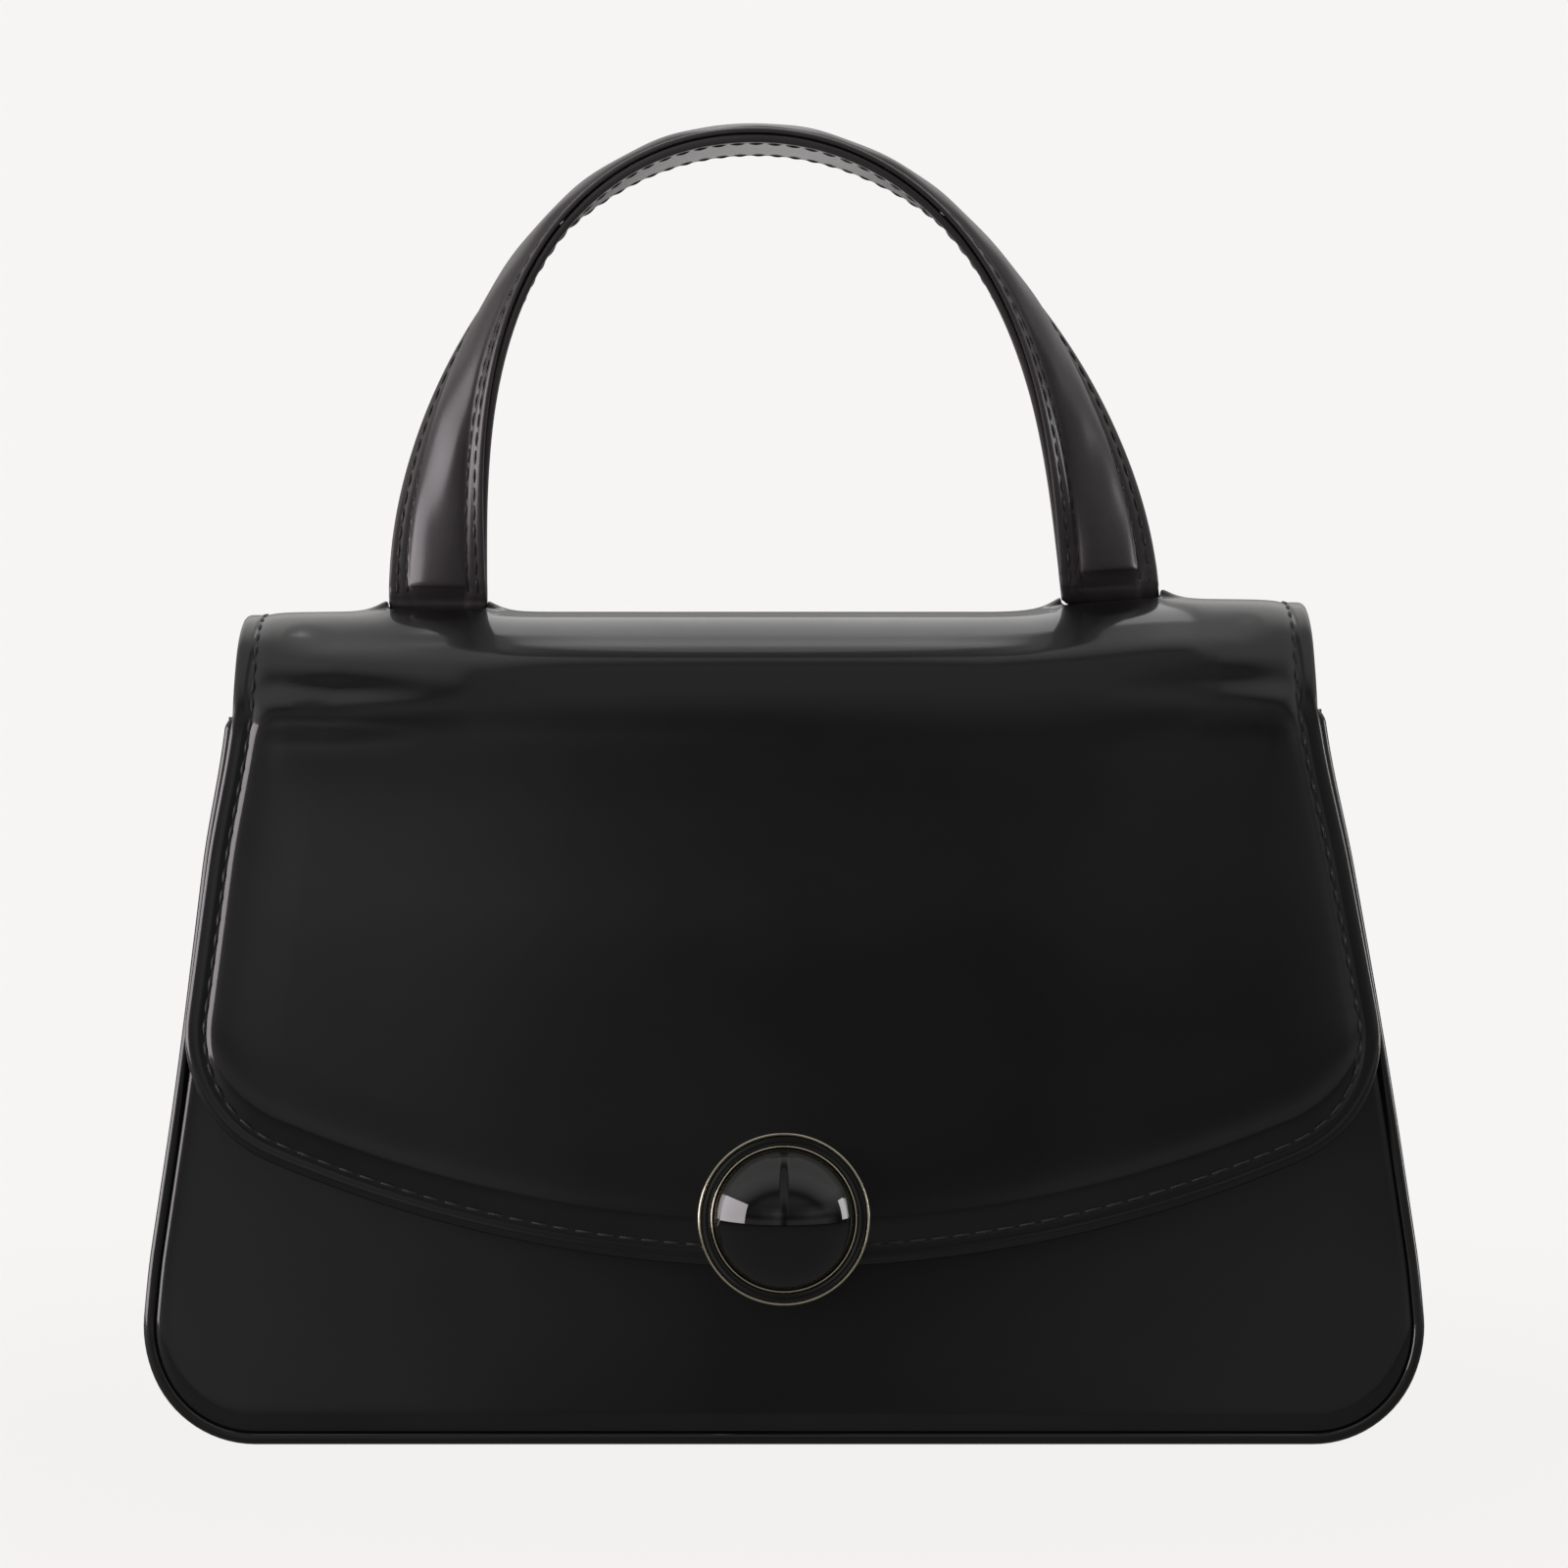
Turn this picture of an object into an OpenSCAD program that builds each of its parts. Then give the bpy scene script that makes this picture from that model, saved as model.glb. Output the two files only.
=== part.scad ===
// Small structured leather handbag with a rigid arched top handle.
// A front flap folds over the top from the back edge and closes on a magnet
// under a round domed ornament. The handle stands on the crown of the flap.
// Millimetres, with +Z up. The front faces -Y, and +X is to the right as seen
// from the front. The origin is on the resting plane, midway between the
// front and back panels.

/* [Body] */
// Greatest width of the body, across the rounded lower corners
body_w = 262; // [240:1:290]
// Height of the panels
body_h = 149; // [138:1:170]
// Radius of the rounded lower corners
corner_r = 23; // [18:1:30]
// Angle by which each side leans in towards the top
side_lean = 7.8; // [6.5:0.1:8.2]
// Angle by which the front and back panels lean in towards the top
panel_lean = 5; // [3:0.5:7]
// Radius of the piping round the panels
welt_r = 1.3; // [0.9:0.1:1.6]

/* [Leather and boards] */
// Thickness of the outer leather of the panels
panel_leather = 1.4; // [1:0.1:1.6]
// Thickness of the stiffening boards behind the panels
panel_board = 1.3; // [0.8:0.1:1.6]
// Thickness of the gusset
gusset_t = 2; // [1.4:0.1:2.4]
// Width of the gusset's turned seam allowance
seam_w = 7; // [5:0.5:10]
// Thickness of the turned seam allowance
seam_t = 1.4; // [1:0.1:1.8]
// Thickness of the linings
lining_t = 0.8; // [0.5:0.1:1.2]
// Height of the leather facing inside the mouth
facing_h = 20; // [12:1:30]
// Thickness of the facing
facing_t = 1; // [0.7:0.1:1.2]
// Thickness of the base board
base_board_t = 2; // [1:0.5:3]
// Width of the slip pocket
pocket_w = 140; // [100:1:170]
// Height of the slip pocket
pocket_h = 78; // [50:1:90]
// Height of the pocket's lower edge above the resting plane
pocket_z = 38; // [25:1:45]

/* [Flap] */
// Distance by which each side of the flap stands in from the body's side at the crown
flap_inset = 1.8; // [0.8:0.1:12]
// Outer radius of the crown
crown_r = 30.4; // [29:0.1:33]
// Height of the top of the crown above the panels' top edges
crown_rise = 22.6; // [21.5:0.1:25]
// Angle by which the flap's sides spread below the crown
flap_flare = 8.2; // [6:0.1:8.6]
// Height above the panels' top edges where the spread starts
flare_rise = 1; // [0:0.5:7]
// Height of the lowest point of the flap
flap_tip_z = 37; // [30:1:44]
// Radius of the flap's curved lower edge
flap_arc_r = 265; // [230:1:320]
// Radius of the flap's lower corners
flap_corner_r = 28; // [20:1:36]
// Thickness of the flap's outer leather
flap_leather = 1.4; // [1:0.1:1.6]
// Thickness of the flap's stiffener
flap_board = 1.2; // [1:0.1:1.4]
// Thickness of the flap's lining
flap_lining_t = 1; // [0.7:0.1:1.2]
// Space between the flap and the front panel below the crown
flap_gap = 0.9; // [0.6:0.1:1.4]

/* [Handle] */
// Distance between the middles of the two handle ends
handle_span = 143; // [120:1:156]
// Height of the strap's arch above the hinge pins
handle_rise = 101.5; // [85:0.5:125]
// Width of the strap at its ends
strap_end_w = 20.8; // [16:0.2:22]
// Width of the strap at the grip
strap_grip_w = 21.6; // [20:0.2:26]
// Thickness of the strap
strap_t = 2; // [1.6:0.1:2.4]
// Thickness of the cover over the strap
cover_t = 1; // [0.8:0.1:1.2]
// Width of the flat stitched margin on each side of the padding
margin_w = 4.2; // [3:0.1:5]
// Height of the padding under the cover
pad_h = 2; // [1.2:0.1:2.6]
// Height above the pins where the padded cover ends
cover_end = 7; // [6.5:0.1:10]
// Drop below the top of the strap's arch where it starts to turn to the front
turn_drop = 1.5; // [0:0.5:40]
// Radius of the hinge pins
pin_r = 1.4; // [1.2:0.1:1.6]
// Height of the hinge pins below the top of the crown
pin_drop = 2; // [1.6:0.1:2.2]

/* [Closure] */
// Height of the ornament's middle
knob_z = 46.6; // [44:0.2:56]
// Outer radius of the ornament's gilt setting
bezel_r = 17.4; // [15:0.1:20]
// Radius of the domed stone
dome_r = 14.3; // [12:0.1:14.4]
// Height of the stone's dome
dome_h = 7.4; // [5:0.1:9]
// Radius of the magnetic snap
snap_r = 7; // [6:0.1:7.4]
// Thickness of the magnet
magnet_t = 2.8; // [2:0.1:3]

/* [Hidden] */
$fn = 64;

// Overrun of every cutting solid, and the space left between layers
cut = 20;
layer_gap = 0.1;
// Space round the piping in its notch, and round the padding in the handle
welt_gap = 0.2;
padding_gap = 0.2;
// Height of the slight crown on the strap's faces
strap_crown = 0.1;
// Space between the strap and the padded cover over it
cover_gap = 0.3;
// Space between the body's top edges and the flap's hinge edge
hinge_gap = 0.3;

// Leather and metal colours
leather_color = [0.09, 0.085, 0.085];
lining_color = [0.28, 0.22, 0.17];
board_color = [0.55, 0.47, 0.36];
gilt_color = [0.80, 0.64, 0.34];
steel_color = [0.62, 0.62, 0.64];
stone_color = [0.02, 0.02, 0.02];

// Body outline, seen from the front
notch = 2 * welt_r + 2 * welt_gap;
corner_x = body_w / 2 - corner_r;

// Side view: the crown's centre, and the lines tangent to it
crown_top = body_h + crown_rise;
flap_t = flap_leather + flap_board + flap_lining_t + 2 * layer_gap;
crown_y = -(flap_t + flap_gap) / 2;
crown_z = crown_top - crown_r;
panel_r = crown_r + crown_y;
flap_inner_r = crown_r - flap_t;
snap_washer_t = 0.5;
stud_plate_t = 0.8;
snap_clearance = 0.3;
snap_stack = snap_washer_t + stud_plate_t + magnet_t + snap_clearance;
flap_lean = panel_lean + atan((snap_stack - flap_gap) / (crown_z - knob_z));
magnet_z = knob_z - (flap_t + snap_stack) * sin(flap_lean);

// Depths of the layers behind a panel's outer face
board_d = panel_leather + layer_gap;
seam_d = max(notch, board_d + panel_board + layer_gap);
lining_d = seam_d + seam_t + layer_gap;
pocket_d = lining_d + lining_t + layer_gap;
pocket_t = 0.8;
pocket_corner_r = 10;

// Height and depth of a panel's face, for the front side
function face_y(z, d) = (z - crown_z) * tan(panel_lean) - (panel_r - d) / cos(panel_lean);

// Height and depth of the flap's face
function flap_y(z, d) = crown_y + (z - crown_z) * tan(flap_lean) - (crown_r - d) / cos(flap_lean);

// Half width of the body's straight side at height z, drawn in by an inset
function side_x(z, inset) = corner_x + (corner_r - inset) * cos(side_lean)
    - (z - corner_r - (corner_r - inset) * sin(side_lean)) * tan(side_lean);

// Flap outline: the lower corner circle touches the spread side and the arc
flare_z = body_h + flare_rise;
flap_half_w = side_x(flare_z, 0) - flap_inset;
flap_side_x = flap_half_w + (flare_z - flap_tip_z) * tan(flap_flare);
flap_arc_z = flap_tip_z + flap_arc_r;
corner_start = [flap_side_x - flap_corner_r / cos(flap_flare), flap_tip_z - flap_arc_z];
corner_way = [-sin(flap_flare), cos(flap_flare)];
corner_dot = corner_start * corner_way;
corner_reach = -corner_dot - sqrt(
    corner_dot * corner_dot - corner_start * corner_start
    + (flap_arc_r - flap_corner_r) * (flap_arc_r - flap_corner_r)
);
corner_at = corner_start + corner_reach * corner_way + [0, flap_arc_z];

// Handle anchors
handle_x = handle_span / 2;
pin_z = crown_top - pin_drop;
pin_play = 0.05;
loop_wall = 1.05;
loop_r = pin_r + pin_play + loop_wall;
loop_mid = loop_r - loop_wall / 2;
loop_gap = 0.3;
lug_t = 1.5;
lug_w = 4.4;
lug_rise = 2.1;
anchor_w = 12;
anchor_t = 1.2;
anchor_end = 6.5;
slot_half_d = 3.3;
mound_r = 6;
mound_rise = 2.2;
mound_skin = 0.5;
rivet_r = 1.2;
rivet_head_r = 2.4;
rivet_head_t = 0.5;
slot_half_w = strap_end_w / 2 + loop_gap;
lug_half_w = slot_half_w + lug_t;
anchor_half_w = lug_half_w + anchor_end;
rivet_x = lug_half_w + anchor_end / 2;
anchor_top = crown_z + sqrt(flap_inner_r * flap_inner_r - anchor_w * anchor_w / 4) - layer_gap;

// Ornament
setting_base_t = 1;
setting_wall_t = 0.7;
setting_wall_h = 3;
stone_play = 0.1;
inner_wall_r = dome_r + stone_play;
enamel_h = 2.2;
post_r = 1.2;
snap_hole_r = 3;
nipple_r = 2;
nipple_h = 1.2;
snap_washer_r = 6;
magnet_washer_t = 0.8;
dome_sphere_r = (dome_r * dome_r + dome_h * dome_h) / (2 * dome_h);

// Handle sweep: the strap's middle follows half an ellipse
half_steps = 26;
angle_power = 1.35;
dome_steps = 6;
edge_steps = 3;
turn_power = 1.5;
turn_h = handle_rise - turn_drop;
across_share = [1, 0.5, 0, -0.5, -1];
inner_share = 0.8;

// Front-view outlines, drawn with x across and z up

// Body outline, open-topped up to the given height
module body_outline(inset, top) {
    low = [corner_x, inset];
    side = [
        corner_x + (corner_r - inset) * cos(side_lean),
        corner_r + (corner_r - inset) * sin(side_lean)
    ];
    polygon([
        [-low.x, low.y], [low.x, low.y], [corner_x, corner_r], side,
        [side_x(top, inset), top], [-side_x(top, inset), top],
        [-side.x, side.y], [-corner_x, corner_r]
    ]);
    for (s = [-1, 1])
        translate([s * corner_x, corner_r]) circle(corner_r - inset);
}

// Flap outline, from the crown down to the curved lower edge
module flap_outline(inset) {
    inner_w = flap_half_w - inset;
    r = flap_corner_r - inset;
    side = corner_at + r * [cos(flap_flare), sin(flap_flare)];
    arc_dir = (corner_at - [0, flap_arc_z]) / (flap_arc_r - flap_corner_r);
    low = corner_at + r * arc_dir;
    top = crown_top + cut;
    far = low + cut * arc_dir;
    polygon([
        [-inner_w, top], [-inner_w, flare_z], [-side.x, side.y], [-corner_at.x, corner_at.y],
        [-low.x, low.y], [low.x, low.y], corner_at, side, [inner_w, flare_z], [inner_w, top]
    ]);
    for (s = [-1, 1])
        translate([s * corner_at.x, corner_at.y]) circle(r);
    intersection() {
        translate([0, flap_arc_z]) circle(flap_arc_r - inset, $fn = 256);
        polygon([[0, flap_arc_z], [-far.x, far.y], [0, flap_tip_z - cut], far]);
    }
}

// Rectangle with round corners, standing on y = 0
module round_rect(w, h, r) {
    translate([-w / 2, r]) square([w, h - 2 * r]);
    translate([-w / 2 + r, 0]) square([w - 2 * r, h]);
    for (x = [-w / 2 + r, w / 2 - r], y = [r, h - r])
        translate([x, y]) circle(r);
}

// Extrudes a front-view outline from the front to the back of the bag
module along_depth() {
    reach = panel_r + body_h;
    translate([0, reach, 0]) rotate([90, 0, 0]) linear_extrude(2 * reach) children();
}

// Extrudes a side-view outline across the whole width of the bag
module across_width() {
    translate([-body_w, 0, 0]) rotate([90, 0, 90]) linear_extrude(2 * body_w) children();
}

// Leaning slab between two depths behind the front panel's outer face
module slab(d0, d1) {
    across_width()
        translate([0, crown_z]) rotate(-panel_lean)
        translate([d0 - panel_r, -2 * body_h]) square([d1 - d0, 4 * body_h]);
}

// Everything between the two panels, from depth d inwards
module between_panels(d, top) {
    across_width() polygon([
        [face_y(0, d), 0], [-face_y(0, d), 0], [-face_y(top, d), top], [face_y(top, d), top]
    ]);
}

// Leaning layer of the front panel: an outline between two depths
module panel_layer(d0, d1, inset, top) {
    intersection() {
        slab(d0, d1);
        along_depth() body_outline(inset, top);
    }
}

module to_back() {
    mirror([0, 1, 0]) children();
}

// Body pieces

module front_panel() {
    color(leather_color) difference() {
        panel_layer(0, panel_leather, notch, body_h);
        on_panel(magnet_z) cylinder(h = 2 * cut, r = post_r + pin_play, center = true);
    }
}

module back_panel() {
    color(leather_color) to_back() panel_layer(0, panel_leather, notch, body_h);
}

module front_board() {
    color(board_color) difference() {
        panel_layer(board_d, board_d + panel_board, notch, body_h);
        on_panel(magnet_z) cylinder(h = 2 * cut, r = post_r + pin_play, center = true);
    }
}

module back_board() {
    color(board_color) to_back() panel_layer(board_d, board_d + panel_board, notch, body_h);
}

module seam_allowance() {
    difference() {
        panel_layer(seam_d, seam_d + seam_t, 0, body_h);
        along_depth() body_outline(seam_w, body_h + cut);
    }
}

// One band down one side, along the bottom and up the other side
module gusset() {
    color(leather_color) union() {
        difference() {
            intersection() {
                between_panels(seam_d, body_h);
                along_depth() body_outline(0, body_h);
            }
            along_depth() body_outline(gusset_t, body_h + cut);
        }
        seam_allowance();
        to_back() seam_allowance();
    }
}

module gusset_lining() {
    color(lining_color) difference() {
        intersection() {
            between_panels(lining_d, body_h);
            along_depth() body_outline(gusset_t + layer_gap, body_h);
        }
        along_depth() body_outline(gusset_t + layer_gap + lining_t, body_h + cut);
    }
}

// Piping in the notch round a panel's edge: straight runs and two round corners
module piping() {
    mid = notch / 2;
    r = corner_r - mid;
    start = [corner_x + r * cos(side_lean), corner_r + r * sin(side_lean)];
    run = (body_h - welt_r - start.y) / cos(side_lean);
    translate([0, face_y(0, mid), 0]) rotate([90 - panel_lean, 0, 0]) {
        translate([-corner_x, mid, 0]) rotate([0, 90, 0]) cylinder(h = 2 * corner_x, r = welt_r);
        for (s = [0, 1]) mirror([s, 0, 0]) {
            translate([corner_x, corner_r, 0]) rotate([0, 0, -90])
                rotate_extrude(angle = 90 + side_lean) translate([r, 0]) circle(welt_r);
            translate([start.x, start.y, 0]) rotate([0, 0, side_lean]) rotate([-90, 0, 0])
                cylinder(h = run, r = welt_r);
        }
    }
}

module front_piping() {
    color(leather_color) piping();
}

module back_piping() {
    color(leather_color) to_back() piping();
}

module front_lining() {
    color(lining_color) panel_layer(
        lining_d, lining_d + lining_t, gusset_t + 2 * layer_gap + lining_t,
        body_h - facing_h
    );
}

module back_lining() {
    color(lining_color) to_back() panel_layer(
        lining_d, lining_d + lining_t, gusset_t + 2 * layer_gap + lining_t,
        body_h - facing_h
    );
}

module facing() {
    intersection() {
        panel_layer(lining_d, lining_d + facing_t, gusset_t + 2 * layer_gap + lining_t, body_h);
        translate([-body_w, -body_w, body_h - facing_h + layer_gap])
            cube([2 * body_w, 2 * body_w, facing_h]);
    }
}

module front_facing() {
    color(leather_color) facing();
}

module back_facing() {
    color(leather_color) to_back() facing();
}

module base_board() {
    floor_z = gusset_t + 2 * layer_gap + lining_t;
    half_d = -face_y(floor_z + base_board_t, lining_d + lining_t) - 2 * layer_gap;
    color(board_color) translate([-corner_x, -half_d, floor_z])
        cube([2 * corner_x, 2 * half_d, base_board_t]);
}

module slip_pocket() {
    color(lining_color) to_back() intersection() {
        slab(pocket_d, pocket_d + pocket_t);
        along_depth() translate([0, pocket_z]) round_rect(pocket_w, pocket_h, pocket_corner_r);
    }
}

// Closure on the front panel

// Places children on the front panel's face, with +Z straight out of it
module on_panel(z) {
    translate([0, face_y(z, 0), z]) rotate([90 - panel_lean, 0, 0]) children();
}

// Places children on the flap's face, with +Z straight out of it
module on_flap(z) {
    translate([0, flap_y(z, 0), z]) rotate([90 - flap_lean, 0, 0]) children();
}

module snap_magnet() {
    color(steel_color) on_panel(magnet_z) {
        difference() {
            translate([0, 0, layer_gap / 2]) cylinder(h = magnet_t, r = snap_r);
            translate([0, 0, magnet_t - nipple_h - snap_clearance])
                cylinder(h = cut, r = snap_hole_r);
        }
        translate([0, 0, -seam_d - layer_gap]) cylinder(h = seam_d + 2 * layer_gap, r = post_r);
    }
}

module magnet_washer() {
    color(steel_color) on_panel(magnet_z) difference() {
        translate([0, 0, -seam_d - magnet_washer_t]) cylinder(h = magnet_washer_t, r = snap_r);
        translate([0, 0, -seam_d - cut]) cylinder(h = 2 * cut, r = post_r + pin_play);
    }
}

// Flap pieces

// Side view of everything inside radius r of the crown and the lines below it
module flap_profile(r, spare) {
    translate([crown_y, crown_z]) {
        circle(r, $fn = 128);
        rotate(-flap_lean) translate([-r, -crown_top]) square([r + spare, crown_top]);
        rotate(panel_lean) translate([-spare, -crown_top]) square([r + spare, crown_top]);
    }
}

// One layer of the flap between two radii of the crown
module flap_layer(r_out, r_in, inset) {
    difference() {
        intersection() {
            across_width() difference() {
                flap_profile(r_out, 0);
                flap_profile(r_in, crown_r / 2);
            }
            along_depth() flap_outline(inset);
        }
        translate([-body_w, 0, -cut]) cube([2 * body_w, 2 * body_w, body_h + hinge_gap + cut]);
    }
}

// Slot through the crown's layers at both handle ends
module handle_slots(half_w) {
    for (s = [-1, 1])
        translate([s * handle_x - half_w, crown_y - slot_half_d, crown_z])
            cube([2 * half_w, 2 * slot_half_d, crown_r + cut]);
}

module post_hole(r) {
    on_flap(knob_z) cylinder(h = 2 * cut, r = r, center = true);
}

// Low mound of moulded leather round each handle end
module mounds() {
    half_w = lug_half_w + mound_skin;
    for (s = [-1, 1])
        translate([s * handle_x, crown_y, crown_top + mound_rise - mound_r]) {
            rotate([0, 90, 0]) cylinder(h = 2 * half_w, r = mound_r, center = true);
            for (e = [-1, 1]) translate([e * half_w, 0, 0]) sphere(mound_r);
        }
}

module flap_leather_cover() {
    color(leather_color) difference() {
        union() {
            flap_layer(crown_r, crown_r - flap_leather, 0);
            difference() {
                mounds();
                across_width() flap_profile(crown_r - flap_leather / 2, crown_r / 2);
            }
        }
        handle_slots(slot_half_w);
        for (s = [-1, 1])
            translate([s * handle_x - lug_half_w - layer_gap, crown_y - lug_w / 2 - layer_gap, crown_z])
                cube([2 * (lug_half_w + layer_gap), lug_w + 2 * layer_gap,
                    pin_z + lug_rise + layer_gap - crown_z]);
        post_hole(post_r + pin_play);
    }
}

module flap_stiffener() {
    r_out = crown_r - flap_leather - layer_gap;
    color(board_color) difference() {
        flap_layer(r_out, r_out - flap_board, layer_gap);
        handle_slots(lug_half_w + layer_gap);
        post_hole(post_r + pin_play);
        rivet_places() cylinder(h = crown_r, r = rivet_r + pin_play);
        rivet_places() translate([0, 0, crown_r - flap_leather - 2 * layer_gap - 2 * rivet_head_t])
            cylinder(h = cut, r = rivet_head_r + pin_play);
    }
}

module flap_lining() {
    r_out = flap_inner_r + flap_lining_t;
    color(lining_color) difference() {
        flap_layer(r_out, flap_inner_r, layer_gap);
        handle_slots(lug_half_w + layer_gap);
        post_hole(post_r + pin_play);
        rivet_places() cylinder(h = crown_r, r = rivet_r + pin_play);
    }
}

// Axis of each rivet, from the level of the crown's centre
module rivet_places() {
    for (s = [-1, 1], e = [-1, 1])
        translate([s * handle_x + e * rivet_x, crown_y, crown_z]) children();
}

// Plate under the crown with two lugs that hold the hinge pin
module handle_anchor(s) {
    color(steel_color) difference() {
        translate([s * handle_x, crown_y, 0]) {
            translate([-anchor_half_w, -anchor_w / 2, anchor_top - anchor_t])
                cube([2 * anchor_half_w, anchor_w, anchor_t]);
            for (x = [-lug_half_w, slot_half_w])
                translate([x, -lug_w / 2, anchor_top - anchor_t / 2])
                    cube([lug_t, lug_w, pin_z + lug_rise - anchor_top + anchor_t / 2]);
        }
        translate([s * handle_x, crown_y, pin_z]) rotate([0, 90, 0])
            cylinder(h = 4 * lug_half_w, r = pin_r + pin_play, center = true);
        rivet_places() cylinder(h = crown_r, r = rivet_r + pin_play);
    }
}

module left_handle_anchor() {
    handle_anchor(-1);
}

module right_handle_anchor() {
    handle_anchor(1);
}

module handle_pins() {
    color(steel_color) for (s = [-1, 1])
        translate([s * handle_x, crown_y, pin_z]) rotate([0, 90, 0])
            cylinder(h = 2 * lug_half_w, r = pin_r, center = true);
}

module anchor_rivets() {
    head_top = crown_r - flap_leather - 3 * layer_gap;
    foot = anchor_top - anchor_t - crown_z;
    color(steel_color) rivet_places() {
        translate([0, 0, foot - rivet_head_t]) cylinder(h = rivet_head_t, r = rivet_head_r);
        translate([0, 0, foot - rivet_head_t]) cylinder(h = head_top - foot + rivet_head_t, r = rivet_r);
        translate([0, 0, head_top - rivet_head_t]) cylinder(h = rivet_head_t, r = rivet_head_r);
    }
}

// Gilt setting: a cup with an outer and an inner rim, and the post behind it
module ornament_setting() {
    post_l = flap_t + snap_washer_t + stud_plate_t + layer_gap;
    color(gilt_color) on_flap(knob_z) {
        translate([0, 0, layer_gap / 2]) rotate_extrude() {
            square([bezel_r, setting_base_t]);
            translate([bezel_r - setting_wall_t, 0]) square([setting_wall_t, setting_wall_h]);
            translate([bezel_r - setting_wall_t / 2, setting_wall_h]) circle(setting_wall_t / 2);
            translate([inner_wall_r, 0]) square([setting_wall_t / 2, setting_wall_h]);
        }
        translate([0, 0, -post_l]) cylinder(h = post_l + setting_base_t, r = post_r);
    }
}

module ornament_ring() {
    color(stone_color) on_flap(knob_z) rotate_extrude()
        translate([inner_wall_r + setting_wall_t / 2 + stone_play, setting_base_t + layer_gap])
            square([
                bezel_r - setting_wall_t - inner_wall_r - setting_wall_t / 2 - 2 * stone_play,
                enamel_h - setting_base_t
            ]);
}

module ornament_stone() {
    color(stone_color) on_flap(knob_z) translate([0, 0, setting_base_t + layer_gap]) {
        cylinder(h = setting_wall_h - setting_base_t, r = dome_r);
        translate([0, 0, setting_wall_h - setting_base_t]) intersection() {
            translate([0, 0, dome_h - dome_sphere_r]) sphere(dome_sphere_r, $fn = 96);
            translate([0, 0, -setting_base_t / 2]) cylinder(h = dome_h + cut, r = dome_r);
        }
    }
}

module snap_washer() {
    color(steel_color) on_flap(knob_z) difference() {
        translate([0, 0, -flap_t - snap_washer_t]) cylinder(h = snap_washer_t, r = snap_washer_r);
        cylinder(h = 4 * cut, r = post_r + pin_play, center = true);
    }
}

// Thin disc with a low centring nipple that drops into the magnet
module snap_stud() {
    back = -flap_t - snap_washer_t;
    color(steel_color) on_flap(knob_z) difference() {
        union() {
            translate([0, 0, back - stud_plate_t]) cylinder(h = stud_plate_t - layer_gap / 2, r = snap_r);
            translate([0, 0, back - stud_plate_t - nipple_h]) cylinder(h = nipple_h, r = nipple_r);
        }
        translate([0, 0, back - stud_plate_t - layer_gap - pin_play])
            cylinder(h = cut, r = post_r + pin_play);
    }
}

// Handle pieces

function limit(v) = max(0, min(1, v));

// Height above the pins, outward normal and turn of the strap at angle a of the arch
function arch_at(a) = [handle_x * cos(a), crown_y, pin_z + handle_rise * sin(a)];
function arch_out(a) = let (v = [cos(a) / handle_x, 0, sin(a) / handle_rise]) v / norm(v);
function arch_turn(a) =
    90 * pow(limit((turn_h - handle_rise * sin(a)) / (turn_h - cover_end)), turn_power);
function strap_w(a) = strap_end_w + (strap_grip_w - strap_end_w) * sin(a);

// Point of a cross-section: u across the strap, v out of its face
function swept(a, p) =
    arch_at(a)
    + p.x * (arch_out(a) * sin(arch_turn(a)) + [0, cos(arch_turn(a)), 0])
    + p.y * (arch_out(a) * cos(arch_turn(a)) - [0, sin(arch_turn(a)), 0]);

// Solid swept from a list of cross-sections, one for each angle
module swept_solid(rings) {
    n = len(rings);
    m = len(rings[0]);
    polyhedron(
        points = [for (ring = rings) for (p = ring) p],
        faces = concat(
            [[for (j = [m - 1 : -1 : 0]) j]],
            [for (i = [0 : n - 2]) for (j = [0 : m - 1]) [
                i * m + j, (i + 1) * m + (j + 1) % m, (i + 1) * m + j
            ]],
            [for (i = [0 : n - 2]) for (j = [0 : m - 1]) [
                i * m + j, i * m + (j + 1) % m, (i + 1) * m + (j + 1) % m
            ]],
            [[for (j = [0 : m - 1]) (n - 1) * m + j]]
        )
    );
}

// Angles of the cover's sweep, closer together where the strap turns
function half_angle(i) =
    let (a0 = asin(cover_end / handle_rise))
    a0 + (90 - a0) * pow(i / half_steps, angle_power);
cover_angles = concat(
    [for (i = [0 : half_steps]) half_angle(i)],
    [for (i = [half_steps - 1 : -1 : 0]) 180 - half_angle(i)]
);

// The strap's own ends reach down into the loops
strap_end_a = asin(loop_mid / handle_rise);
strap_angles = concat([strap_end_a], cover_angles, [180 - strap_end_a]);

function half_round(half_w, low, rise) =
    [for (k = [0 : dome_steps]) [
        half_w * cos(180 * k / dome_steps), low + rise * sin(180 * k / dome_steps)
    ]];

function reversed(list) = [for (i = [len(list) - 1 : -1 : 0]) list[i]];

// Half width of the padding's flat underside
function padding_half_w(w) = w / 2 - margin_w - cover_t - padding_gap;

// Points across a slightly crowned face from one side to the other
function across(half_w, level, crown, way) =
    [for (share = across_share) [way * share * half_w, level + crown * (1 - share * share)]];

// Strap section with a rounded edge on each side
function strap_section(w) =
    let (flat = w / 2 - strap_t / 2)
    concat(
        [for (k = [0 : edge_steps]) let (e = 180 * k / edge_steps - 90)
            [flat + strap_t / 2 * cos(e), strap_t / 2 * sin(e)]],
        across(padding_half_w(w), strap_t / 2 + strap_crown / 4, strap_crown, 1),
        [for (k = [0 : edge_steps]) let (e = 180 * k / edge_steps + 90)
            [-flat + strap_t / 2 * cos(e), strap_t / 2 * sin(e)]],
        across(padding_half_w(w), -strap_t / 2 - strap_crown / 4, -strap_crown, -1)
    );

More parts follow.
